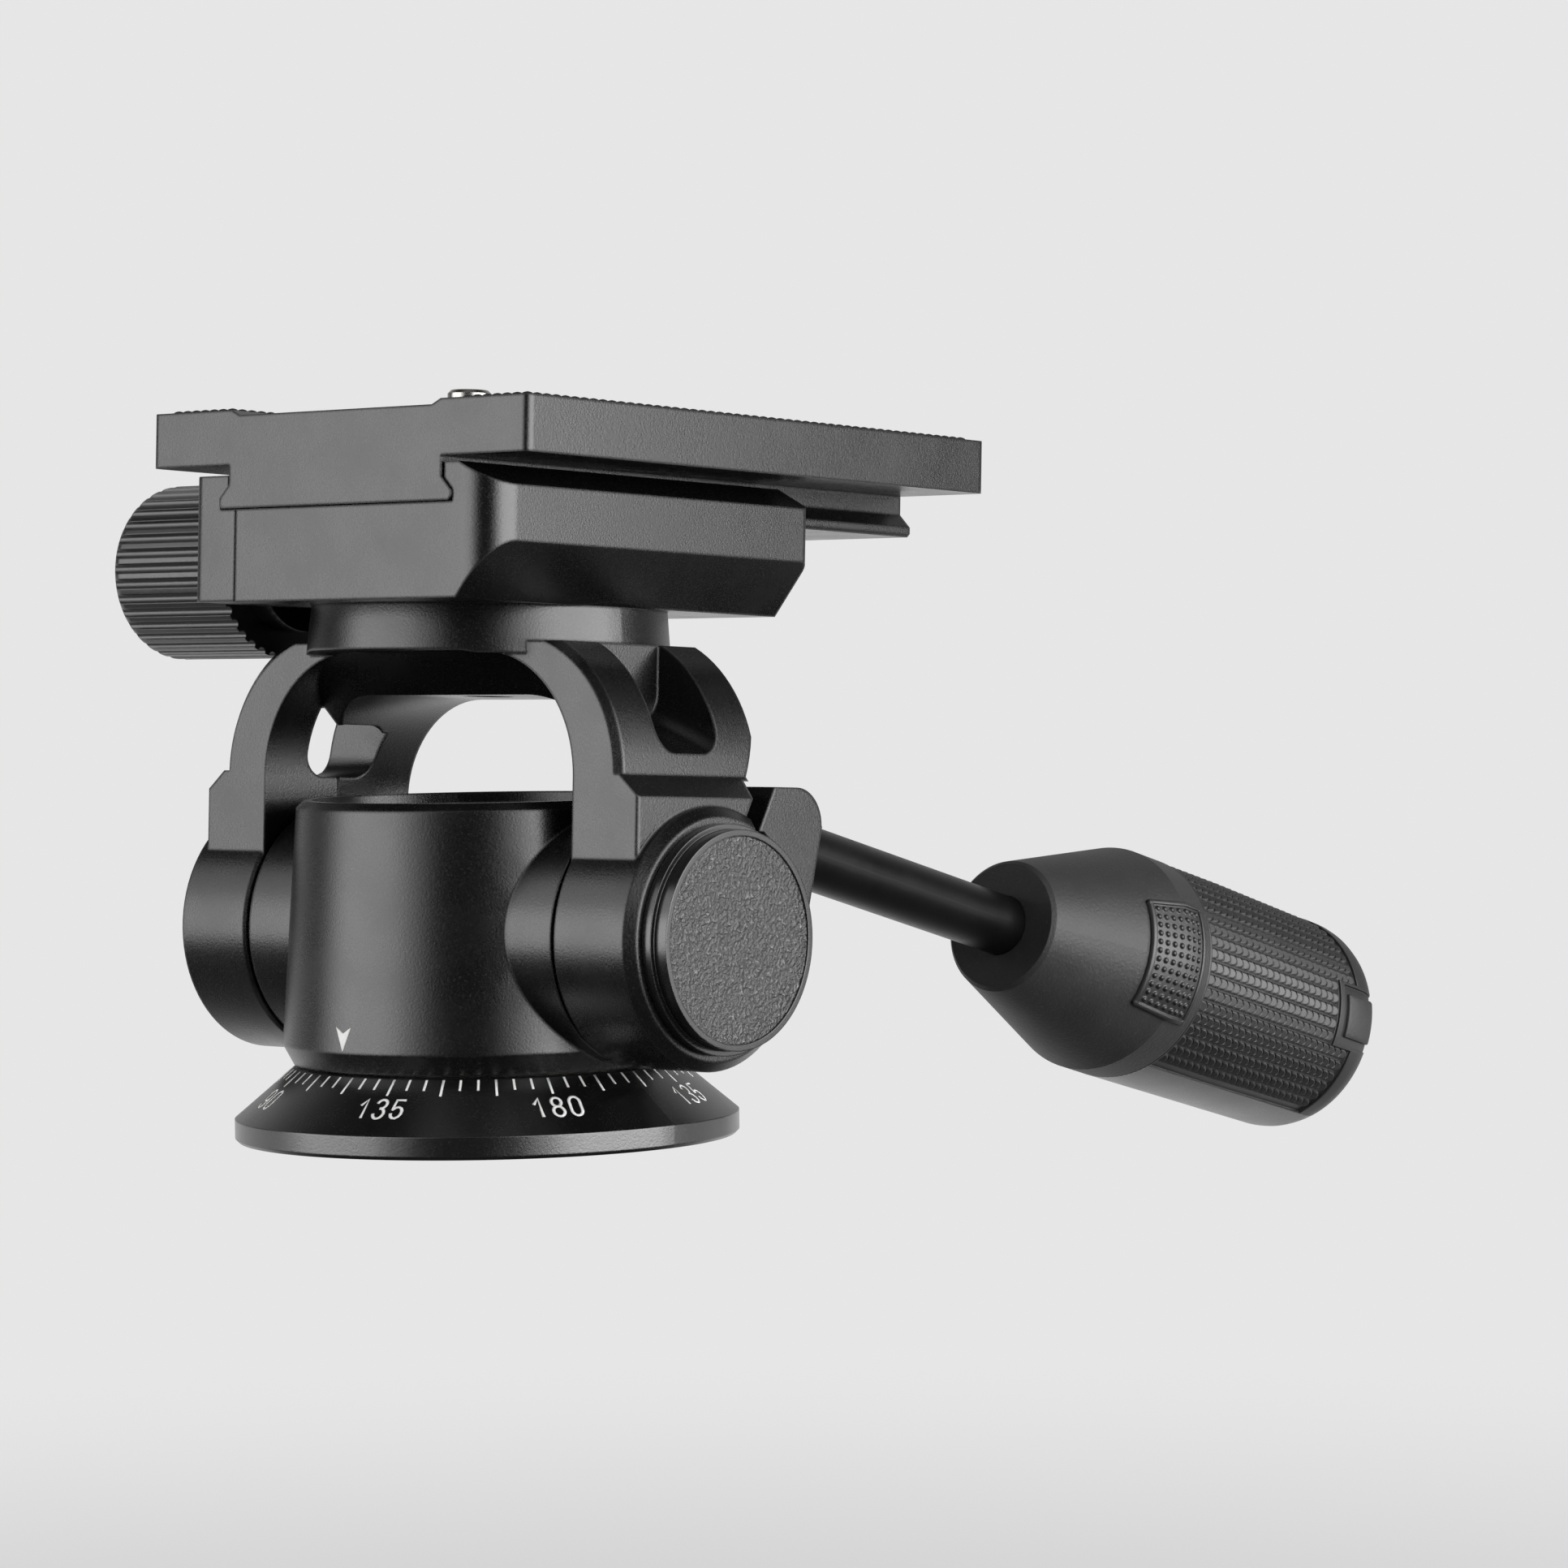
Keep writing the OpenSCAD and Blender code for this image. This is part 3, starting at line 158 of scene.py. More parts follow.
@dataclass(frozen=True)
class Finish:
    """A material of the head and how its surface was made.

    Attributes:
        name: Name of the material.
        colour: sRGB hex colour.
        roughness: Roughness at the middle of its range.
        metallic: One for bare metal, none for oxide, paint and plastic.
        specular: Specular level of the shader.
        grain: Direction of the grain.
        grain_mm: Size of the grain, drawn coarser than the real one where that is too fine to show.
        depth_mm: Height of the grain.
        cloud_mm: Size of the broad, faint changes of tone.
        cloud: Share by which the tone changes.
        edge_mm: Width of the softened edge that catches light and wear.
        edge_colour: sRGB hex colour that shows through where an edge wears, also used for the painted
            edge highlight and the painted glints.
        edge_wear: Share of the edge colour along edges, as wear and as painted highlight.
        fleck: Share of the edge colour in painted glints on the high points of the grain.
        coat: Weight of a clear gloss coat.
        coat_roughness: Roughness of that coat.
        ior: Index of refraction.
    """

    name: str
    colour: str
    roughness: float
    metallic: float = 0.0
    specular: float = 0.5
    grain: Grain = Grain.EVEN
    grain_mm: float = 0.3
    depth_mm: float = 0.01
    cloud_mm: float = 6.0
    cloud: float = 0.12
    edge_mm: float = 0.2
    edge_colour: str = "#5a5a5c"
    edge_wear: float = 0.3
    fleck: float = 0.0
    coat: float = 0.0
    coat_roughness: float = 0.12
    ior: float = 1.5

    def material(self) -> bpy.types.Material:
        """Builds the node material, or returns it where it exists.

        Returns:
            The material.
        """
        known = bpy.data.materials.get(self.name)
        if known:
            return known
        made = bpy.data.materials.new(self.name)
        made.use_nodes = True
        tree = made.node_tree
        tree.nodes.clear()
        place = add_node(tree, "ShaderNodeTexCoord").outputs["Object"]
        grain = {
            "Vector": self._grain_place(tree, place),
            "Scale": 1 / (self.grain_mm * MM),
            "Detail": FINE_DETAIL,
            "Roughness": FINE_OCTAVES,
        }
        fine = add_node(tree, "ShaderNodeTexNoise", grain).outputs["Fac"]
        cloud = {"Vector": place, "Scale": 1 / (self.cloud_mm * MM), "Detail": BROAD_DETAIL}
        broad = add_node(tree, "ShaderNodeTexNoise", cloud).outputs["Fac"]
        edge = {"Radius": self.edge_mm * MM}
        soft = add_node(tree, "ShaderNodeBevel", edge, samples=EDGE_SAMPLES).outputs["Normal"]
        relief = {"Height": fine, "Distance": self.depth_mm * MM, "Strength": 1.0, "Normal": soft}
        surface = {
            "Base Color": self._tone(tree, broad, self._worn(tree, soft, fine)),
            "Metallic": self.metallic,
            "Roughness": self._spread(tree, broad, fine),
            "IOR": self.ior,
            "Specular IOR Level": self.specular,
            "Coat Weight": self.coat,
            "Coat Roughness": self.coat_roughness,
            "Normal": add_node(tree, "ShaderNodeBump", relief).outputs["Normal"],
        }
        shader = add_node(tree, "ShaderNodeBsdfPrincipled", surface)
        add_node(tree, "ShaderNodeOutputMaterial", {"Surface": shader.outputs["BSDF"]})
        return made

    def _grain_place(self, tree: Tree, place: Socket) -> Socket:
        """Lays the grain in its direction.

        Args:
            tree: Node tree of the material.
            place: Object coordinates.

        Returns:
            The socket of the coordinates that the grain reads.
        """
        if self.grain is Grain.EVEN:
            return place
        split = add_node(tree, "ShaderNodeSeparateXYZ", {"Vector": place}).outputs
        flat = add_node(tree, "ShaderNodeCombineXYZ", {"X": split["X"], "Y": split["Y"]}).outputs[0]
        reach = add_node(tree, "ShaderNodeVectorMath", {0: flat}, operation="LENGTH").outputs["Value"]
        rings = add_node(tree, "ShaderNodeCombineXYZ", {"X": reach, "Z": split["Z"]}).outputs[0]
        bend = {0: place, 1: (RING_DRIFT, RING_DRIFT, RING_DRIFT)}
        drift = add_node(tree, "ShaderNodeVectorMath", bend, operation="MULTIPLY").outputs[0]
        return add_node(tree, "ShaderNodeVectorMath", {0: rings, 1: drift}, operation="ADD").outputs[0]

    def _worn(self, tree: Tree, soft: Socket, fine: Socket) -> Socket:
        """Masks the edges, lighter as wear and as painted highlight, and the painted glints.

        Args:
            tree: Node tree of the material.
            soft: Normal of the softened edge.
            fine: Grain noise.

        Returns:
            The socket of the mask.
        """
        hard = add_node(tree, "ShaderNodeNewGeometry").outputs["Normal"]
        meet = add_node(tree, "ShaderNodeVectorMath", {0: soft, 1: hard}, operation="DOT_PRODUCT")
        # Lighter edges: partly wear, partly a painted highlight where light catches the edge
        lightened = {
            "Value": meet.outputs["Value"],
            "From Min": EDGE_LIGHTENING[0],
            "From Max": EDGE_LIGHTENING[1],
            "To Min": 0.0,
            "To Max": self.edge_wear,
        }
        edge = add_node(tree, "ShaderNodeMapRange", lightened).outputs["Result"]
        if not self.fleck:
            return edge
        # Painted glints: bright specks of the edge colour on the grain's high points, standing in for
        # light that breaks there
        bright = {
            "Value": fine,
            "From Min": GLINT_GRAIN[0],
            "From Max": GLINT_GRAIN[1],
            "To Min": 0.0,
            "To Max": self.fleck,
        }
        glint_share = add_node(tree, "ShaderNodeMapRange", bright).outputs["Result"]
        return add_node(tree, "ShaderNodeMath", {0: edge, 1: glint_share}, operation="MAXIMUM").outputs[0]

    def _tone(self, tree: Tree, broad: Socket, wear_and_painted_light: Socket) -> Socket:
        """Mixes the colour with broad changes of tone, edge wear, a painted edge highlight and painted
        glints.

        Args:
            tree: Node tree of the material.
            broad: Broad noise.
            wear_and_painted_light: Mask of the edge wear, the painted edge highlight and the painted
                glints.

        Returns:
            The socket of the colour.
        """
        base = linear(self.colour)[:3]
        low = (*(c * (1 - self.cloud) for c in base), 1.0)
        high = (*(c * (1 + self.cloud) for c in base), 1.0)
        clouded = {"Factor": broad, MIX_A: low, MIX_B: high}
        cloud = add_node(tree, "ShaderNodeMix", clouded, data_type="RGBA").outputs[MIX_RESULT]
        lightened = {"Factor": wear_and_painted_light, MIX_A: cloud, MIX_B: linear(self.edge_colour)}
        return add_node(tree, "ShaderNodeMix", lightened, data_type="RGBA").outputs[MIX_RESULT]

    def _spread(self, tree: Tree, broad: Socket, fine: Socket) -> Socket:
        """Varies the roughness a little with the tone and the grain.

        Args:
            tree: Node tree of the material.
            broad: Broad noise.
            fine: Grain noise.

        Returns:
            The socket of the roughness.
        """
        both = add_node(tree, "ShaderNodeMath", {0: broad, 1: fine}, operation="ADD").outputs[0]
        span = {
            "Value": both,
            "From Min": NOISE_SUM[0],
            "From Max": NOISE_SUM[1],
            "To Min": max(self.roughness - ROUGHNESS_CHANGE, LEAST_ROUGHNESS),
            "To Max": min(self.roughness + ROUGHNESS_CHANGE, 1.0),
        }
        return add_node(tree, "ShaderNodeMapRange", span).outputs["Result"]


# Black anodised aluminium, bead blasted: an even satin black with a fine sparkle of painted glints where
# light breaks;
# the grain is drawn coarser than the beads leave it, so that it shows
BLASTED_BLACK = Finish(
    "black_anodised_blasted",
    "#0a0a0b",
    0.28,
    specular=0.45,
    grain_mm=0.26,
    depth_mm=0.022,
    cloud=0.04,
    edge_mm=0.5,
    edge_wear=0.35,
    fleck=0.22,
    ior=1.7,
)
# Black anodised aluminium, bead blasted over a fine cut: as the blasted one, with a brighter sheen and
# fewer painted glints
SHEEN_BLACK = Finish(
    "black_anodised_sheen",
    "#0a0a0b",
    0.25,
    specular=0.80,
    grain_mm=0.26,
    depth_mm=0.012,
    cloud=0.04,
    fleck=0.12,
    ior=1.7,
)
# Black anodised aluminium turned on a lathe: faint rings that draw the highlight out along the
# turning, drawn wider than the real tool marks, so that they show
TURNED_BLACK = Finish(
    "black_anodised_turned",
    "#0a0a0b",
    0.26,
    specular=0.60,
    grain=Grain.TURNED,
    grain_mm=0.22,
    depth_mm=0.004,
    ior=1.7,
)
# Black anodised aluminium sand blasted with coarse grit: a grainy face that glitters with painted glints
GRAINED_BLACK = Finish(
    "black_anodised_grained",
    "#1e1e1f",
    0.34,
    specular=0.72,
    grain_mm=0.50,
    depth_mm=0.40,
    edge_colour="#8c8c8e",
    edge_wear=0.15,
    fleck=1.0,
    ior=1.7,
)
# Polished black acrylic disc: a deep gloss that mirrors the room
GLOSS_BLACK = Finish(
    "black_acrylic_polished",
    "#0d0d0e",
    0.12,
    grain_mm=2.5,
    depth_mm=0.001,
    edge_wear=0.1,
    coat=0.4,
)
# Steel tube with stoved black enamel: smooth, with a long soft highlight
ROD_BLACK = Finish(
    "black_enamel_on_steel",
    "#0b0b0c",
    0.34,
    specular=0.30,
    grain_mm=0.8,
    depth_mm=0.003,
    edge_wear=0.1,
)
# Turned steel, oiled: grey metal with fine rings
STEEL = Finish(
    "steel_turned",
    "#b4b2ae",
    0.27,
    metallic=1.0,
    grain=Grain.TURNED,
    grain_mm=0.16,
    depth_mm=0.002,
    edge_colour="#d8d7d4",
)
# Sintered bronze: warm, dull metal with open pores
BRONZE = Finish(
    "bronze_sintered",
    "#9a7443",
    0.38,
    metallic=1.0,
    grain_mm=0.25,
    depth_mm=0.006,
    edge_colour="#c9a673",
)
# Natural acetal, moulded: waxy off-white plastic
ACETAL = Finish(
    "acetal_moulded",
    "#c9c6bd",
    0.45,
    grain_mm=0.5,
    depth_mm=0.004,
    edge_colour="#dedbd2",
)
# Black ABS from a spark eroded mould: a fine leathery grain and a soft sheen, with painted glints in the
# grain
MOULDED_BLACK = Finish(
    "black_abs_moulded",
    "#313132",
    0.50,
    specular=0.42,
    grain_mm=0.42,
    depth_mm=0.060,
    cloud=0.3,
    edge_wear=0.2,
    fleck=0.3,
    ior=1.6,
)
# Black nylon, moulded in a satin tool: deeper black than the grip, with glints along the ribs, partly a
# painted edge highlight
RIBBED_NYLON = Finish(
    "black_nylon_moulded",
    "#161617",
    0.32,
    specular=0.75,
    grain_mm=0.35,
    depth_mm=0.015,
    edge_wear=0.4,
    ior=1.6,
)
# Black rubber, moulded in a polished tool: satin, with bright glints on the crowns of its scales
RUBBER_BLACK = Finish(
    "black_rubber_moulded",
    "#19191a",
    0.46,
    specular=1.0,
    grain_mm=0.30,
    depth_mm=0.008,
    edge_wear=0.2,
)
# Black rubber, moulded in a sanded tool: greyer and more even, with a fine tooth
# Its lighter grey on the panel under the grip is partly painted light from below; its specks are painted
# glints
SANDED_RUBBER_PAINTED_LIGHT = Finish(
    "black_rubber_sanded_painted_light",
    "#2c2c2d",
    0.30,
    specular=1.0,
    grain_mm=0.32,
    depth_mm=0.030,
    edge_wear=0.2,
    fleck=0.4,
    ior=1.6,
)
# White screen ink: flat, with a slight mottle where the ink lies thin
WHITE_INK = Finish(
    "white_ink_printed",
    "#f6f6f4",
    0.55,
    grain_mm=0.15,
    depth_mm=0.003,
    cloud_mm=0.8,
    edge_colour="#c4c4c2",
)

# Finish of each CAD node, also of those that a dressed piece stands for
NODE_FINISHES: dict[str, Finish] = {
    "base_ring": SHEEN_BLACK,
    "pan_spindle": STEEL,
    "thread_bush": BRONZE,
    "flange_screws": STEEL,
    "pan_spring_washer": STEEL,
    "pan_nut": STEEL,
    "drum": BLASTED_BLACK,
    "drum_cover": GLOSS_BLACK,
    "pan_bush": BRONZE,
    "drag_ring": ACETAL,
    "trunnion_left": STEEL,
    "trunnion_right": STEEL,
    "tilt_bolt": STEEL,
    "tilt_nut": STEEL,
    "thrust_washers": ACETAL,
    "tilt_cap_left": TURNED_BLACK,
    "tilt_cap_right": TURNED_BLACK,
    "cap_insert_left": GRAINED_BLACK,
    "cap_insert_right": GRAINED_BLACK,
    "yoke": BLASTED_BLACK,
    "tilt_bush": ACETAL,
    "friction_sleeve": ACETAL,
    "clamp_body": BLASTED_BLACK,
    "clamp_screw": STEEL,
    "clamp_dowels": STEEL,
    "guide_pins": STEEL,
    "jaw_springs": STEEL,
    "jaw": BLASTED_BLACK,
    "knob": RIBBED_NYLON,
    "knob_core": BRONZE,
    "knob_screw": STEEL,
    "knob_collar": TURNED_BLACK,
    "knob_cap": GLOSS_BLACK,
    "plate": BLASTED_BLACK,
    "plate_pads": RUBBER_BLACK,
    "camera_screw": STEEL,
    "screw_clip": STEEL,
    "handle_rod": ROD_BLACK,
    "grip_body": MOULDED_BLACK,
    "grip_sleeve": RUBBER_BLACK,
    "thumb_pad": RUBBER_BLACK,
    "grip_cap": MOULDED_BLACK,
}


@dataclass(frozen=True)
class Layout:
    """Places that several pieces share, level and in millimetres.

    Attributes:
        tilt_z: Height of the tilt axis.
        rest_tilt: Lean of the yoke at rest, in degrees.
        plate_x: Place of the plate's middle across the head.
        handle_drop: Fall of the handle from level, in degrees.
        handle_x: Place of the handle across the head.
        handle_rise: Height of the handle over the tilt axis, square to it.
    """

    tilt_z: float = 24.32
    rest_tilt: float = -2.8
    plate_x: float = 0.75
    handle_drop: float = 12.5
    handle_x: float = 30.5
    handle_rise: float = 14.22

    def tipped(self) -> Matrix:
        """The lean of the yoke side about the tilt axis."""
        axis = Matrix.Translation((0, 0, self.tilt_z * MM))
        return axis @ Matrix.Rotation(math.radians(self.rest_tilt), 4, "X") @ axis.inverted()

    def on_handle(self) -> Matrix:
        """Turns coordinates with Z along the handle and X outwards to the frame.

        Returns:
            The turn and shift.
        """
        axis = Matrix.Translation((0, 0, self.tilt_z * MM))
        lean = Matrix.Rotation(math.radians(self.rest_tilt - self.handle_drop), 4, "X")
        aside = Matrix.Translation((self.handle_x * MM, 0, self.handle_rise * MM))
        return axis @ lean @ aside @ Matrix.Rotation(math.radians(-90), 4, "X")


LAYOUT = Layout()


def clear_selection() -> None:
    """Leaves edit mode and deselects everything."""
    if bpy.context.object and bpy.context.object.mode != "OBJECT":
        bpy.ops.object.mode_set(mode="OBJECT")
    bpy.ops.object.select_all(action="DESELECT")


def activate(piece: Piece) -> None:
    """Makes a piece the only selected and active one.

    Args:
        piece: The piece.
    """
    clear_selection()
    piece.select_set(True)
    bpy.context.view_layer.objects.active = piece


def edit(piece: Piece, work: Callable[[], object]) -> None:
    """Runs operators on all of a piece's mesh in edit mode.

    Args:
        piece: The piece.
        work: Operators to run.
    """
    activate(piece)
    bpy.ops.object.mode_set(mode="EDIT")
    bpy.ops.mesh.select_all(action="SELECT")
    work()
    bpy.ops.object.mode_set(mode="OBJECT")


def mend(piece: Piece) -> None:
    """Merges doubled corners and turns faces outwards.

    Args:
        piece: The piece.
    """

    def work() -> None:
        """Merges first, so that the faces are joined when they turn."""
        bpy.ops.mesh.remove_doubles(threshold=MERGE)
        bpy.ops.mesh.normals_make_consistent(inside=False)

    edit(piece, work)


def shift(piece: Piece, offset: Point) -> None:
    """Moves a piece's mesh by an offset in millimetres."""
    piece.data.transform(Matrix.Translation(Vector(offset) * MM))


def arc(
    centre: Point, reach: Point, start: float, end: float, count: int = 10
) -> list[tuple[float, float]]:
    """Points along part of an ellipse.

    Args:
        centre: Its centre.
        reach: Its half width and half height.
        start: First angle in degrees.
        end: Last angle.
        count: Steps between them.

    Returns:
        The points.
    """
    turns = [math.radians(start + (end - start) * i / count) for i in range(count + 1)]
    return [(centre[0] + reach[0] * math.cos(t), centre[1] + reach[1] * math.sin(t)) for t in turns]


def octagon(radius: float) -> list[tuple[float, float]]:
    """Corners of a small eight-sided disc."""
    return arc((0, 0), (radius, radius), 0, 315, 7)


def rectangle(low: Point, high: Point) -> list[tuple[float, float]]:
    """Corners of a rectangle, round from its lowest one."""
    return [(low[0], low[1]), (high[0], low[1]), (high[0], high[1]), (low[0], high[1])]


def outline(name: str, corners: Sequence[Point], filled: bool = True) -> Piece:
    """A loop that starts as a circle and has its corners moved to their places.

    Args:
        name: Name of the piece.
        corners: Corners in order, in millimetres.
        filled: Whether the loop has a face.

    Returns:
        The loop.
    """
    clear_selection()
    fill = "NGON" if filled else "NOTHING"
    bpy.ops.mesh.primitive_circle_add(vertices=len(corners), radius=MM, fill_type=fill)
    piece = bpy.context.object
    piece.name = piece.data.name = name
    for vertex, corner in zip(piece.data.vertices, corners):
        vertex.co = Vector(corner) * MM
    return piece


def turned(
    name: str,
    section: Sequence[Point],
    start: float = 0.0,
    sweep: float = FULL_TURN,
    steps: int = 96,
) -> Piece:
    """A section of radius and height spun about Z, whole or as a sector.

    Args:
        name: Name of the piece.
        section: Closed section as radius and height.
        start: Angle where it starts, in degrees.
        sweep: Angle that it covers.
        steps: Steps over that angle.

    Returns:
        The closed piece.
    """
    whole = sweep >= FULL_TURN
    piece = outline(name, [(r, 0.0, z) for r, z in section], filled=not whole)

    def work() -> None:
        """Spins the section; the operator turns clockwise for a positive angle."""
        bpy.ops.mesh.spin(steps=steps, angle=-math.radians(sweep), center=(0, 0, 0), axis=(0, 0, 1))

    edit(piece, work)
    mend(piece)
    piece.data.transform(Matrix.Rotation(math.radians(start), 4, "Z"))
    return piece


def sector(name: str, section: Sequence[Point], low: float, high: float) -> Piece:
    """A turned sector between two angles that count up from the grip's outward side.

    Args:
        name: Name of the piece.
        section: Closed section as radius and place along the handle.
        low: Lower angle in degrees.
        high: Upper angle.

    Returns:
        The sector.
    """
    steps = max(2, round((high - low) / SECTOR_STEP))
    return turned(name, section, -high, high - low, steps)


def raised(
    name: str,
    corners: Sequence[Point],
    steps: Sequence[tuple[float, float]],
    pull: Point = (0.0, 0.0),
) -> Piece:
    """A closed boss, lifted from a flat outline in steps that draw in.

    Args:
        name: Name of the piece.
        corners: Outline in the XY plane.
        steps: Height and share of the outline's size at each step.
        pull: Point that the outline draws in to.

    Returns:
        The boss.
    """
    piece = outline(name, [(x, y, 0.0) for x, y in corners])
    centre = (pull[0] * MM, pull[1] * MM, 0)

    def work() -> None:
        """Lifts the face and draws it in, step by step."""
        height, size = 0.0, 1.0
        for top, share in steps:
            lift = {"value": (0, 0, (top - height) * MM)}
            bpy.ops.mesh.extrude_region_move(TRANSFORM_OT_translate=lift)
            bpy.ops.transform.resize(value=(share / size, share / size, 1), center_override=centre)
            height, size = top, share

    edit(piece, work)
    mend(piece)
    return piece


def apply_modifier(piece: Piece, kind: str, **settings: Any) -> None:
    """Adds a modifier with its settings and applies it.

    Args:
        piece: The piece.
        kind: Type of the modifier.
        **settings: Properties of the modifier.
    """
    activate(piece)
    made = piece.modifiers.new(kind.lower(), kind)
    for key, value in settings.items():
        setattr(made, key, value)
    bpy.ops.object.modifier_apply(modifier=made.name)


def arrayed(piece: Piece, step: Point, count: int) -> None:
    """Repeats a piece in a straight row.

    Args:
        piece: The piece.
        step: From one to the next, in millimetres.
        count: How many there are.
    """
    apply_modifier(
        piece,
        "ARRAY",
        count=count,
        use_relative_offset=False,
        use_constant_offset=True,
        constant_offset_displace=tuple(c * MM for c in step),
    )


def soften(piece: Piece, width: float, segments: int = 2, angle: float = 35.0) -> None:
    """Rounds the sharp edges of a piece.

    Args:
        piece: The piece.
        width: Width of the rounding in millimetres.
        segments: Faces across it.
        angle: Least angle of an edge that is rounded.
    """
    apply_modifier(
        piece,
        "BEVEL",
        width=width * MM,
        segments=segments,
        limit_method="ANGLE",
        angle_limit=math.radians(angle),
        use_clamp_overlap=True,
    )


def joined(name: str, pieces: Sequence[Piece]) -> Piece:
    """Joins pieces into the first of them.

    Args:
        name: Name of the whole.
        pieces: The pieces.

    Returns:
        The whole.
    """
    clear_selection()
    for piece in pieces:
        piece.select_set(True)
    bpy.context.view_layer.objects.active = pieces[0]
    bpy.ops.object.join()
    pieces[0].name = pieces[0].data.name = name
    return pieces[0]


def repeated(name: str, pattern: Piece, places: Sequence[Matrix]) -> Piece:
    """Copies a pattern to many places, each copy with its own mesh, and joins them.

    Args:
        name: Name of the whole.
        pattern: What is copied; it is used up.
        places: Where each copy goes.

    Returns:
        The whole.
    """
    made = []
    for place in places:
        twin = pattern.copy()
        twin.data = pattern.data.copy()
        twin.data.transform(place)
        bpy.context.collection.objects.link(twin)
        made.append(twin)
    bpy.data.objects.remove(pattern)
    return joined(name, made)


def thread(
    name: str, root_r: float, crest_r: float, pitch: float, start: float, turns: int
) -> Piece:
    """A helical ridge about Z.

    Args:
        name: Name of the piece.
        root_r: Radius of its foot.
        crest_r: Radius of its crest, smaller than the foot for an inner thread.
        pitch: Rise in one turn.
        start: Height where it starts.
        turns: Whole turns.

    Returns:
        The closed ridge.
    """
    half, flat = pitch * THREAD_FOOT, pitch * THREAD_CREST
    section = [
        (root_r, 0, start - half),
        (crest_r, 0, start - flat),
        (crest_r, 0, start + flat),
        (root_r, 0, start + half),
    ]
    piece = outline(name, section, filled=False)
    apply_modifier(
        piece,
        "SCREW",
        axis="Z",
        angle=math.radians(FULL_TURN),
        screw_offset=pitch * MM,
        iterations=turns,
        steps=THREAD_STEPS,
        render_steps=THREAD_STEPS,
    )
    edit(piece, lambda: bpy.ops.mesh.fill_holes(sides=len(section)))
    mend(piece)
    return piece


def dress(piece: Piece, finish: Finish, body: str, smooth: float = 40.0) -> Piece:
    """Gives a piece its finish and the body that it rides on.

    Args:
        piece: The piece, in its place.
        finish: Its finish, unless its parts already have theirs.
        body: CAD body that carries it.
        smooth: Angle up to which edges are shaded smooth, in degrees.

    Returns:
        The piece.
    """
    activate(piece)
    bpy.ops.object.shade_smooth_by_angle(angle=math.radians(smooth))
    if not piece.data.materials:
        piece.data.materials.append(finish.material())
    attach(piece, body)
    LOG.info("%s rides on %s: %d faces", piece.name, body, len(piece.data.polygons))
    return piece


# Strokes of the engraver's figures that the scale uses, in a box one wide and one high
FIGURES: dict[str, list[list[tuple[float, float]]]] = {
    "0": [
        arc((0.5, 0.72), (0.5, 0.28), 0, 180)
        + arc((0.5, 0.28), (0.5, 0.28), 180, 360)
        + [(1.0, 0.72)],
    ],
    "1": [[(0.08, 0.66), (0.62, 1.0), (0.62, 0.0)]],
    "3": [
        arc((0.48, 0.77), (0.47, 0.23), 175, -62) + [(0.42, 0.54)],
        [(0.42, 0.54)] + arc((0.50, 0.27), (0.50, 0.27), 72, -175),
    ],
    "4": [[(0.66, 1.0), (0.0, 0.30), (1.0, 0.30)], [(0.74, 0.58), (0.74, 0.0)]],
    "5": [[(0.94, 1.0), (0.06, 1.0), (0.03, 0.50)] + arc((0.5, 0.33), (0.5, 0.30), 148, -172)],
    "8": [
        arc((0.5, 0.765), (0.44, 0.235), -90, 270, 18),
        arc((0.5, 0.265), (0.5, 0.265), 90, 450, 18),
    ],
    "9": [
        arc((0.5, 0.69), (0.5, 0.31), 0, 360, 18),
        [(1.0, 0.69)] + arc((0.5, 0.27), (0.5, 0.27), 0, -165),
    ],
}


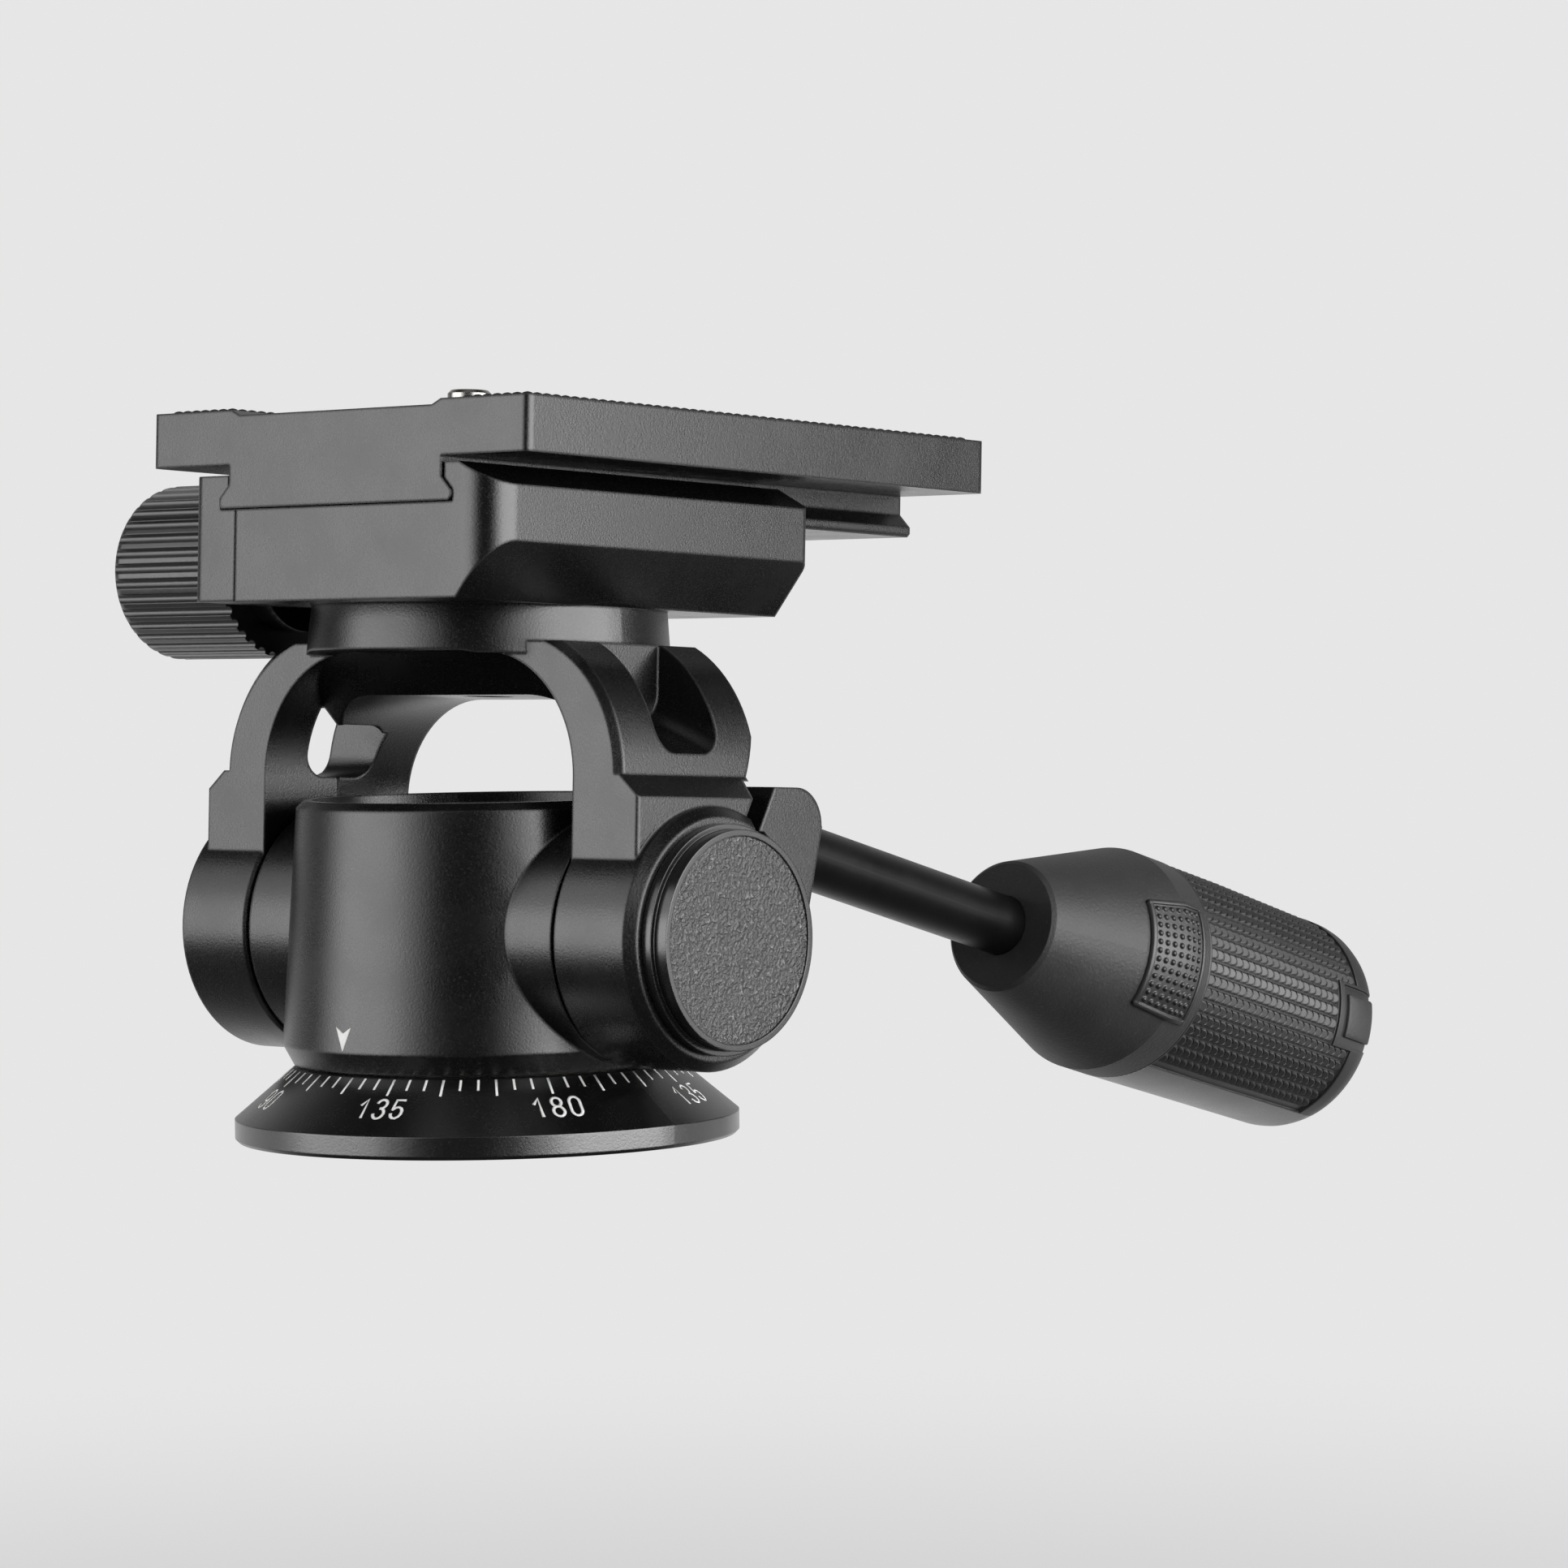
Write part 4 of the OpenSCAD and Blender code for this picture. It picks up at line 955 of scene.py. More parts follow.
@dataclass
class Base:
    """The base ring's printed degree scale and the thread for the tripod.

    Attributes:
        wall_r: Radius of the ring's upright wall.
        wall_h: Height of that wall, where the cone starts.
        top_r: Radius of the cone's top edge.
        height: Height of that edge.
        tick_step: Degrees from one line of the scale to the next.
        long_every: Lines from one long line to the next.
        tick_start: From the cone's top edge down to the lines.
        short_tick: Length of a short line.
        long_tick: Length of a long line.
        tick_w: Width of a line.
        tick_top: Share of a line's outline at the top of its ink.
        half_turn_at: Azimuth of the figure 180, in degrees.
        figure_step: Degrees from one figure to the next.
        figure_top: From the cone's top edge down to the figures.
        figure_h: Height of a figure, between the middles of its strokes.
        figure_w: Width of a digit.
        figure_pitch: From one digit to the next.
        stroke: Width of a stroke.
        ink: Height of the ink over the cone, and its depth in it.
        thread_r: Radius of the thread's root.
        thread_depth: Depth of the thread.
        thread_sink: Depth of the ridge's foot in the bush.
        thread_pitch: Rise of the thread in one turn.
        thread_start: Height where the thread starts.
        thread_turns: Whole turns of the thread.
    """

    wall_r: float = 30.0
    wall_h: float = 2.65
    top_r: float = 22.75
    height: float = 8.75
    tick_step: float = 5.0
    long_every: int = 3
    tick_start: float = 0.25
    short_tick: float = 1.8
    long_tick: float = 2.7
    tick_w: float = 0.30
    tick_top: float = 0.94
    half_turn_at: float = -28.2
    figure_step: int = 45
    figure_top: float = 3.35
    figure_h: float = 3.0
    figure_w: float = 1.30
    figure_pitch: float = 2.2
    stroke: float = 0.40
    ink: float = 0.03
    thread_r: float = 3.97
    thread_depth: float = 0.55
    thread_sink: float = 0.02
    thread_pitch: float = 1.5875
    thread_start: float = 0.9
    thread_turns: int = 6

    def build(self) -> None:
        """Builds the scale and the thread."""
        dress(self._ticks(), WHITE_INK, "base")
        dress(self._figures(), WHITE_INK, "base")
        ridge = thread(
            "tripod_thread_ridge",
            self.thread_r + self.thread_sink,
            self.thread_r - self.thread_depth,
            self.thread_pitch,
            self.thread_start,
            self.thread_turns,
        )
        dress(ridge, BRONZE, "base")

    def _on_cone(self, across: float, down: float, over: float, azimuth: float) -> Vector:
        """A place on the cone.

        Args:
            across: Distance to the right of the azimuth, in millimetres.
            down: Distance down the slope from the top edge.
            over: Height over the surface.
            azimuth: Azimuth in degrees.

        Returns:
            The place in metres.
        """
        run, fall = self.wall_r - self.top_r, self.height - self.wall_h
        slope = math.hypot(run, fall)
        radius = self.top_r + (down * run + over * fall) / slope
        turn = math.radians(azimuth) + across / radius
        height = self.height + (over * run - down * fall) / slope
        return Vector((radius * math.cos(turn), radius * math.sin(turn), height)) * MM

    def _lay(self, piece: Piece, azimuth: float) -> None:
        """Wraps a flat piece, drawn with X across and Y up the slope, on the cone.

        Args:
            piece: The piece.
            azimuth: Azimuth of its middle, in degrees.
        """
        for vertex in piece.data.vertices:
            flat = vertex.co / MM
            vertex.co = self._on_cone(flat.x, -flat.y, flat.z, azimuth)

    def _tick(self, length: float, azimuth: float) -> Piece:
        """One line of the scale.

        Args:
            length: Its length down the slope.
            azimuth: Its azimuth in degrees.

        Returns:
            The line.
        """
        half, top, low = self.tick_w / 2, -self.tick_start, -self.tick_start - length
        corners = rectangle((-half, low), (half, top))
        line = raised("tick", corners, [(2 * self.ink, self.tick_top)], (0, (top + low) / 2))
        shift(line, (0, 0, -self.ink))
        self._lay(line, azimuth)
        return line

    def _ticks(self) -> Piece:
        """All lines of the scale, some of them long.

        Returns:
            The lines.
        """
        lines = []
        for i in range(round(FULL_TURN / self.tick_step)):
            length = self.short_tick if i % self.long_every else self.long_tick
            lines.append(self._tick(length, self.half_turn_at + i * self.tick_step))
        return joined("scale_ticks", lines)

    def _figure(self, word: str) -> Piece:
        """A number as flat strokes with round ends.

        Args:
            word: Its digits.

        Returns:
            The number, centred and drawn flat.
        """
        clear_selection()
        bpy.ops.curve.primitive_bezier_curve_add()
        drawn = bpy.context.object
        drawn.data.splines.clear()
        drawn.data.bevel_depth = self.stroke / 2 * MM
        drawn.data.bevel_resolution = 1
        drawn.data.use_fill_caps = True
        left = -((len(word) - 1) * self.figure_pitch + self.figure_w) / 2
        for i, digit in enumerate(word):
            for stroke in FIGURES[digit]:
                spline = drawn.data.splines.new("POLY")
                spline.points.add(len(stroke) - 1)
                for point, (x, y) in zip(spline.points, stroke):
                    across = left + i * self.figure_pitch + x * self.figure_w
                    up = -self.figure_top - self.stroke / 2 - (1 - y) * self.figure_h
                    point.co = (across * MM, up * MM, 0.0, 1.0)
        bpy.ops.object.convert(target="MESH")
        piece = bpy.context.object
        for vertex in piece.data.vertices:
            vertex.co.z *= 2 * self.ink / self.stroke
        return piece

    def _figures(self) -> Piece:
        """Numbers round the scale, counting down both ways from the half turn.

        Returns:
            The numbers.
        """
        made = []
        for turn in range(0, round(FULL_TURN), self.figure_step):
            number = self._figure(str(abs(round(FULL_TURN / 2) - turn)))
            self._lay(number, self.half_turn_at - turn)
            made.append(number)
        return joined("scale_figures", made)


@dataclass
class Drum:
    """The printed index mark on the drum that pans.

    Attributes:
        low_r: Radius of the drum's wall at its foot.
        low_z: Height of that foot.
        top_r: Radius of the wall at its top.
        top_z: Height of that top.
        mark_azimuth: Azimuth of the mark, in degrees.
        mark_z: Height of its middle.
        mark_w: Its width.
        mark_h: Its height.
        mark_notch: Depth of the notch in its upper edge.
        mark_top: Share of its outline at the top of its ink.
        ink: Half the thickness of the ink.
        lift: Height of the ink's middle over the wall.
    """

    low_r: float = 24.15
    low_z: float = 11.4
    top_r: float = 22.1
    top_z: float = 39.37
    mark_azimuth: float = -89.3
    mark_z: float = 13.05
    mark_w: float = 2.5
    mark_h: float = 3.0
    mark_notch: float = 0.75
    mark_top: float = 0.95
    ink: float = 0.03
    lift: float = 0.01

    def build(self) -> None:
        """Builds the mark and wraps it on the wall."""
        half, reach = self.mark_w / 2, self.mark_h / 2
        corners = [(0.0, -reach), (half, reach), (0.0, reach - self.mark_notch), (-half, reach)]
        mark = raised("index_mark", corners, [(2 * self.ink, self.mark_top)])
        for vertex in mark.data.vertices:
            flat = vertex.co / MM
            vertex.co = self._on_wall(flat.x, self.mark_z + flat.y, flat.z - self.ink + self.lift)
        dress(mark, WHITE_INK, "drum")

    def _on_wall(self, across: float, height: float, over: float) -> Vector:
        """A place on the drum's wall.

        Args:
            across: Distance to the right of the mark's middle.
            height: Height of the place.
            over: Distance out from the wall.

        Returns:
            The place in metres.
        """
        share = (height - self.low_z) / (self.top_z - self.low_z)
        radius = self.low_r + (self.top_r - self.low_r) * share + over
        turn = math.radians(self.mark_azimuth) + across / radius
        return Vector((radius * math.cos(turn), radius * math.sin(turn), height)) * MM


@dataclass
class PlatePads:
    """The two long rubber pads on the plate, covered with round studs.

    Attributes:
        inner: From the plate's middle to the inner edge of a pad.
        outer: From the plate's middle to its outer edge.
        front: Front end of the pads.
        back: Rear end of the pads.
        foot_z: Height of their underside.
        sheet_t: Thickness of the sheet between the studs.
        sheet_edge: Rounding of that sheet.
        stud_r: Radius of a stud.
        stud_pitch: From one stud to the next.
        stud_steps: Height and share of the radius up a stud.
    """

    inner: float = 18.45
    outer: float = 29.6
    front: float = -25.85
    back: float = 53.25
    foot_z: float = 85.149
    sheet_t: float = 0.10
    sheet_edge: float = 0.05
    stud_r: float = 0.74
    stud_pitch: float = 1.54
    stud_steps: Steps = ((0.16, 0.94), (0.30, 0.74), (0.39, 0.44), (0.44, 0.12))

    def build(self) -> None:
        """Builds both pads and tips them with the plate."""
        pads = joined("plate_pad_studs", [*self._pad(-1), *self._pad(1)])
        shift(pads, (0, 0, self.foot_z))
        pads.data.transform(LAYOUT.tipped())
        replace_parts(dress(pads, RUBBER_BLACK, "plate"), "plate_pads")

    def _pad(self, side: int) -> list[Piece]:
        """The sheet and the studs of one pad.

        Args:
            side: Minus one for the left pad, one for the right.

        Returns:
            The sheet and the studs.
        """
        edges = (LAYOUT.plate_x + side * self.inner, LAYOUT.plate_x + side * self.outer)
        low, high = min(edges), max(edges)
        sheet = raised("pad", rectangle((low, self.front), (high, self.back)), [(self.sheet_t, 1.0)])
        soften(sheet, self.sheet_edge)
        across = int((high - low) / self.stud_pitch)
        along = int((self.back - self.front) / self.stud_pitch)
        first_x = (low + high - (across - 1) * self.stud_pitch) / 2
        first_y = (self.front + self.back - (along - 1) * self.stud_pitch) / 2
        stud = raised("stud", octagon(self.stud_r), self.stud_steps)
        shift(stud, (first_x, first_y, 0))
        arrayed(stud, (self.stud_pitch, 0, 0), across)
        arrayed(stud, (0, self.stud_pitch, 0), along)
        return [sheet, stud]


@dataclass
class CameraScrew:
    """The captive camera screw with its slotted head, bare shank and thread.

    Attributes:
        screw_y: Place of the screw along the plate.
        head_z: Height of the head's underside.
        head_r: Radius of the head.
        head_t: Thickness of the head.
        head_edge: Broken edge of the head.
        slot_w: Width of the slot, which is half as deep as the head.
        slot_spare: How far the cutter of the slot starts below the head.
        shank_r: Radius of the bare shank.
        thread_z: Height where the thread starts.
        run_in: Length from the shank to the thread's root.
        tip_z: Height of the tip.
        tip_edge: Broken edge of the tip.
        crest_r: Radius of the thread's crest.
        root_r: Radius of its root.
        pitch: Rise of the thread in one turn.
        ridge_start: From the thread's start to the middle of its first turn.
        ridge_spare: Length of the thread that is kept free of whole turns.
        ridge_sink: Depth of the ridge's foot in the core.
        steps: Faces round the core.
    """

    screw_y: float = -4.8
    head_z: float = 73.9
    head_r: float = 7.0
    head_t: float = 2.6
    head_edge: float = 0.35
    slot_w: float = 1.6
    slot_spare: float = 1.0
    shank_r: float = 2.6
    thread_z: float = 84.93
    run_in: float = 0.1
    tip_z: float = 88.34
    tip_edge: float = 0.4
    crest_r: float = 3.175
    root_r: float = 2.62
    pitch: float = 1.27
    ridge_start: float = 0.6
    ridge_spare: float = 0.9
    ridge_sink: float = 0.05
    steps: int = 48

    def build(self) -> None:
        """Builds the screw and tips it with the plate."""
        core = self._core()
        self._cut_slot(core)
        turns = int((self.tip_z - self.thread_z - self.ridge_spare) / self.pitch)
        foot, first = self.root_r - self.ridge_sink, self.thread_z + self.ridge_start
        ridge = thread("camera_ridge", foot, self.crest_r, self.pitch, first, turns)
        screw = joined("camera_screw_turned", [core, ridge])
        shift(screw, (LAYOUT.plate_x, self.screw_y, 0))
        screw.data.transform(LAYOUT.tipped())
        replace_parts(dress(screw, STEEL, "camera_screw"), "camera_screw")

    def _core(self) -> Piece:
        """Head, shank and root of the thread in one turned piece.

        Returns:
            The core.
        """
        head_top, edge = self.head_z + self.head_t, self.head_edge
        section = [
            (AXIS_R, self.head_z),
            (self.head_r - edge, self.head_z),
            (self.head_r, self.head_z + edge),
            (self.head_r, head_top - edge),
            (self.head_r - edge, head_top),
            (self.shank_r, head_top),
            (self.shank_r, self.thread_z),
            (self.root_r, self.thread_z + self.run_in),
            (self.root_r, self.tip_z - self.tip_edge),
            (self.root_r - self.tip_edge, self.tip_z),
            (AXIS_R, self.tip_z),
        ]
        return turned("camera_screw_turned", section, steps=self.steps)

    def _cut_slot(self, core: Piece) -> None:
        """Cuts the slot into the head from below.

        Args:
            core: The turned screw.
        """
        half, reach = self.slot_w / 2, 2 * self.head_r
        corners = rectangle((-reach, -half), (reach, half))
        cutter = raised("slot_cutter", corners, [(self.head_t / 2 + self.slot_spare, 1.0)])
        shift(cutter, (0, 0, self.head_z - self.slot_spare))
        apply_modifier(core, "BOOLEAN", operation="DIFFERENCE", object=cutter, solver="EXACT")
        bpy.data.objects.remove(cutter)


@dataclass(frozen=True)
class GripShape:
    """The grip's outside, as radii about the handle at places along it.

    Attributes:
        start_s: Front end of the grip.
        shoulder_s: Where its cone ends.
        seam_s: Front end of the rubber sleeve.
        rubber_edge_s: Where the sleeve's rounded end starts.
        end_s: Rear end of the grip under its dome.
        end_edge: From the end of the sleeve's taper to the rear end.
        front_r: Radius at the front end.
        radius: Radius from the shoulder on.
        core_r: Radius of the core in the sleeve.
        core_end: From the sleeve's rounded end to the end of its core.
        taper: Loss of radius over the rear two thirds of the sleeve.
    """

    start_s: float = 58.77
    shoulder_s: float = 78.53
    seam_s: float = 83.47
    rubber_edge_s: float = 119.6
    end_s: float = 122.37
    end_edge: float = 1.0
    front_r: float = 8.3
    radius: float = 14.4
    core_r: float = 12.2
    core_end: float = 2.4
    taper: float = 0.4

    def outer_r(self, s: float) -> float:
        """Radius of the sleeve's outside.

        Args:
            s: Place along the handle.

        Returns:
            The radius.
        """
        straight_end = self.seam_s + (self.end_s - self.seam_s) / 3
        share = (s - straight_end) / (self.end_s - self.end_edge - straight_end)
        return self.radius - self.taper * min(max(share, 0.0), 1.0)

    def body_r(self, s: float) -> float:
        """Radius of the hard body, on its cone or behind it.

        Args:
            s: Place along the handle.

        Returns:
            The radius.
        """
        if s >= self.shoulder_s:
            return self.radius
        share = (s - self.start_s) / (self.shoulder_s - self.start_s)
        return self.front_r + (self.radius - self.front_r) * share


GRIP = GripShape()
# Turns a boss that was drawn flat so that it stands on the grip's outward side, its X along the handle
TO_SIDE = Matrix(((0, 0, 1, 0), (0, -1, 0, 0), (1, 0, 0, 0), (0, 0, 0, 1)))


@dataclass
class Sleeve:
    """The grip's rubber sleeve: rows of scales, a plain panel below, a rim and a notch for the lug.

    Angles count up from the outward side, in degrees.

    Attributes:
        scale_h: Height of the scales over the sleeve.
        scale_sink: Depth of a scale's foot under half of that height.
        scale_len: From the front curve of a scale back to the like curve of its rear.
        scale_x: Centre of the front curve, along the handle.
        scale_reach: Half length and half width of that curve.
        scale_span: Angle of that curve either way.
        scale_foot: Height of a scale's upright foot.
        scale_edge: Height of its softened edge.
        scale_shares: Shares of its outline at the start and the end of that edge.
        scale_pull: Place along the scale that its outline draws in to.
        scale_tip: Place from which its crown leans down.
        scale_lean: Slope of its crown.
        scale_pitch: From one scale to the next.
        scales: Scales in a long row.
        short_scales: Scales in a row beside the lug.
        first_scale_s: Place of the first scale along the handle.
        rows: Rows round the sleeve.
        row_step: Angle from one row to the next.
        first_row: Angle of the first row.
        notch: Angles between which the sleeve has its notch.
        notch_clear: Angle beside the notch where rows are short too.
        panel: Angles between which the sleeve is plain.
        bead_edge: Broken edge of the bead at the seam.
        bead_w: Width of that bead.
        bead_foot: From the seam to the foot of the bead.
        straight: Length of the straight part of the shell.
        shell_round: Drop and length of the shell's rear edge.
        foot_lift: Radius of the rims' foot over the core.
        rim_break: Drop and length of the rims' broken front edge.
        rim_round: Drop and length at each step of the rims' rounded end.
        rim_end: Length of the rims past the rounded end's start.
        rim_gap: From the last scale of a long row to the rim.
        rim_lap: Angle between the notch and the rims.
        frame_gap: From the last scale of a short row to the bar.
        bar_w: Width of the bar in front of the notch.
        rail: Angle of the rails beside the notch.
        steps: Faces round the shell.
        smooth: Angle up to which edges are shaded smooth.
    """

    scale_h: float = 0.36
    scale_sink: float = 0.3
    scale_len: float = 1.08
    scale_x: float = 0.35
    scale_reach: tuple[float, float] = (0.8, 0.72)
    scale_span: float = 80.0
    scale_foot: float = 0.2
    scale_edge: float = 0.12
    scale_shares: tuple[float, float] = (0.96, 0.78)
    scale_pull: float = 0.25
    scale_tip: float = 1.2
    scale_lean: float = 0.24
    scale_pitch: float = 1.4
    scales: int = 24
    short_scales: int = 21
    first_scale_s: float = 84.15
    rows: int = 42
    row_step: float = 7.005
    first_row: float = -53.6
    notch: tuple[float, float] = (-14.0, 19.0)
    notch_clear: float = 2.0
    panel: tuple[float, float] = (-118.5, -61.5)
    bead_edge: float = 0.15
    bead_w: float = 0.4
    bead_foot: float = 0.6
    straight: float = 13.0
    shell_round: tuple[float, float] = (0.6, 2.3)
    foot_lift: float = 0.3
    rim_break: tuple[float, float] = (0.05, 0.12)
    rim_round: Steps = ((0.0, 0.0), (0.12, 0.9), (0.42, 1.8), (0.95, 2.5))
    rim_end: float = 2.6
    rim_gap: float = 0.2
    rim_lap: float = 1.5
    frame_gap: float = 0.1
    bar_w: float = 1.0
    rail: float = 1.6
    steps: int = 120
    smooth: float = 22.0

    def build(self) -> None:
        """Builds the sleeve and lays it on the handle."""
        rubber = [self._shell(), *self._all_rows(), *self._rims()]
        panel = self._rim("panel", GRIP.seam_s, *self.panel)
        for part in rubber:
            part.data.materials.append(RUBBER_BLACK.material())
        # The plain panel below takes the sanded rubber, whose lighter grey is partly painted light from
        # below
        panel.data.materials.append(SANDED_RUBBER_PAINTED_LIGHT.material())
        sleeve = joined("grip_sleeve_scales", [*rubber, panel])
        sleeve.data.transform(LAYOUT.on_handle())
        dress(sleeve, RUBBER_BLACK, "handle", self.smooth)
        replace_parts(sleeve, "grip_sleeve")

    def _row(self, count: int) -> Piece:
        """One row of scales along the handle.

        Args:
            count: Scales in the row.

        Returns:
            The row, on the outward side.
        """
        crown = self.scale_sink + self.scale_h / 2
        fore = arc((self.scale_x, 0), self.scale_reach, -self.scale_span, self.scale_span, 8)
        corners = fore + [(x - self.scale_len, y) for x, y in reversed(fore)]
        edge_share, crown_share = self.scale_shares
        rise = [(self.scale_foot, 1.0), (crown - self.scale_edge, edge_share), (crown, crown_share)]
        scale = raised("scale", corners, rise, (self.scale_pull, 0.0))
        for vertex in scale.data.vertices:
            if vertex.co.z > (self.scale_foot + NEAR) * MM:
                vertex.co.z -= (self.scale_tip * MM - vertex.co.x) * self.scale_lean
        scale.data.transform(TO_SIDE)
        shift(scale, (GRIP.radius - crown, 0, self.first_scale_s))
        arrayed(scale, (0, 0, self.scale_pitch), count)
        return scale

    def _all_rows(self) -> list[Piece]:
        """All rows of scales, drawn in where the sleeve tapers.

        Returns:
            The long rows and the short ones.
        """
        low, high = self.notch[0] - self.notch_clear, self.notch[1] + self.notch_clear
        angles = [self.first_row + i * self.row_step for i in range(self.rows)]
        places = {a: Matrix.Rotation(math.radians(-a), 4, "Z") for a in angles}
        beside = [m for a, m in places.items() if low < a < high]
        free = [m for a, m in places.items() if not low < a < high]
        made = [
            repeated("long_rows", self._row(self.scales), free),
            repeated("short_rows", self._row(self.short_scales), beside),
        ]
        for vertex in (v for rows in made for v in rows.data.vertices):
            reach = math.hypot(vertex.co.x, vertex.co.y)
            drop = (GRIP.radius - GRIP.outer_r(vertex.co.z / MM)) * MM
            vertex.co.xy *= (reach - drop) / reach
        return made

    def _shell(self) -> Piece:
        """The sleeve under the scales, with a bead at its seam.

        Returns:
            The shell.
        """
        floor, seam, edge = GRIP.radius - self.scale_h, GRIP.seam_s, GRIP.rubber_edge_s
        drop, length = self.shell_round
        section = [
            (GRIP.core_r, seam),
            (GRIP.radius - self.bead_edge, seam),
            (GRIP.radius, seam + self.bead_edge),
            (GRIP.radius, seam + self.bead_w),
            (floor, seam + self.bead_foot),
            (floor, seam + self.straight),
            (floor - GRIP.taper, edge),
            (floor - GRIP.taper - drop, edge + length),
            (GRIP.core_r, edge + GRIP.core_end),
        ]
        return turned("shell", section, steps=self.steps)

    def _rim(self, name: str, start: float, low: float, high: float) -> Piece:
        """A sector of the raised rubber that runs to the rounded end.

        Args:
            name: Name of the piece.
            start: Where it starts along the handle.
            low: Lower angle.
            high: Upper angle.

        Returns:
            The sector.
        """
        foot, edge = GRIP.core_r + self.foot_lift, GRIP.rubber_edge_s
        drop, length = self.rim_break
        section = [
            (foot, start),
            (GRIP.outer_r(start) - drop, start),
            (GRIP.outer_r(start), start + length),
            *((GRIP.outer_r(edge) - d, edge + s) for d, s in self.rim_round),
            (foot, edge + self.rim_end),
        ]
        return sector(name, section, low, high)

    def _rims(self) -> list[Piece]:
        """The rim behind the scales and the frame of the notch.

        Returns:
            The pieces of both.
        """
        rim_s = self.first_scale_s + self.scales * self.scale_pitch + self.rim_gap
        bar_s = self.first_scale_s + self.short_scales * self.scale_pitch + self.frame_gap
        bar = rectangle((GRIP.core_r, bar_s), (GRIP.outer_r(bar_s), bar_s + self.bar_w))
        low, high = self.notch
        return [
            self._rim("rim_over", rim_s, high + self.rim_lap, self.panel[0] + FULL_TURN),
            self._rim("rim_under", rim_s, self.panel[1], low - self.rim_lap),
            sector("notch_bar", bar, low, high),
            self._rim("notch_rail_over", bar_s, high, high + self.rail),
            self._rim("notch_rail_under", bar_s, low - self.rail, low),
        ]


@dataclass
class ThumbPatch:
    """The framed patch with rows of dots for the thumb.

    Attributes:
        start_s: Front end of the patch along the handle.
        end_s: Its rear end.
        half: Half of the angle that it covers, in degrees.
        frame_t: Height of the frame over the grip's body.
        frame_w: Width of the frame.
        frame_edge: Rounding of the frame.
        sheet_t: Height of the sheet in the frame.
        sheet_inset: From the frame's ends to the sheet's.
        sheet_turn: Angle from the frame's sides to the sheet's.
        sink: Depth of the frame and the sheet in the body.
        dot_columns: Dots along the handle.
        dot_rows: Dots round it.
        dot_inset: From the frame to the first dot along the handle.
        dot_turn: Angle from the frame to the first dot round it.
        dot_r: Radius of a dot.
        dot_steps: Height and share of the radius up a dot.
    """

    start_s: float = 72.97
    end_s: float = 81.97
    half: float = 31.0
    frame_t: float = 0.5
    frame_w: float = 0.65
    frame_edge: float = 0.15
    sheet_t: float = 0.2
    sheet_inset: float = 0.1
    sheet_turn: float = 0.4
    sink: float = 0.2
    dot_columns: int = 7
    dot_rows: int = 12
    dot_inset: float = 0.65
    dot_turn: float = 2.6
    dot_r: float = 0.36
    dot_steps: Steps = ((0.3, 0.95), (0.42, 0.72), (0.48, 0.35))

    def build(self) -> None:
        """Builds the patch and lays it on the handle."""
        first, last, wide, half = self.start_s, self.end_s, self.frame_w, self.half
        turn = math.degrees(wide / GRIP.radius)
        inset, side = self.sheet_inset, half - self.sheet_turn
        sheet = sector("patch", self._section(first + inset, last - inset, self.sheet_t), -side, side)
        frame = [
            sector("front", self._section(first, first + wide, self.frame_t), -half, half),
            sector("rear", self._section(last - wide, last, self.frame_t), -half, half),
            sector("over", self._section(first, last, self.frame_t), half - turn, half),
            sector("under", self._section(first, last, self.frame_t), -half, turn - half),
        ]
        for bar in frame:
            soften(bar, self.frame_edge)
        patch = joined("thumb_patch_dots", [sheet, *frame, self._dots(half - turn - self.dot_turn)])
        patch.data.transform(LAYOUT.on_handle())
        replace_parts(dress(patch, RUBBER_BLACK, "handle"), "thumb_pad")

    def _section(self, start: float, end: float, over: float) -> list[tuple[float, float]]:
        """Section of a part that follows the body.

        Args:
            start: Where it starts along the handle.
            end: Where it ends.
            over: Its height over the body.

        Returns:
            The closed section.
        """
        bend = [GRIP.shoulder_s] if start < GRIP.shoulder_s < end else []
        stations = [start, *bend, end]
        top = [(GRIP.body_r(s) + over, s) for s in stations]
        return top + [(GRIP.body_r(s) - self.sink, s) for s in reversed(stations)]

    def _dots(self, reach: float) -> Piece:
        """Rows of dots on the sheet.

        Args:
            reach: Angle from the middle to the last dot, in degrees.

        Returns:
            The dots.
        """
        dot = raised("dot", octagon(self.dot_r), self.dot_steps)
        dot.data.transform(TO_SIDE)
        first = self.start_s + self.frame_w + self.dot_inset
        last = self.end_s - self.frame_w - self.dot_inset
        places = []
        for i in range(self.dot_columns):
            s = first + i * (last - first) / (self.dot_columns - 1)
            lift = Matrix.Translation((GRIP.body_r(s) * MM, 0, s * MM))
            for j in range(self.dot_rows):
                angle = (2 * j / (self.dot_rows - 1) - 1) * reach
                places.append(Matrix.Rotation(math.radians(angle), 4, "Z") @ lift)
        return repeated("dots", dot, places)


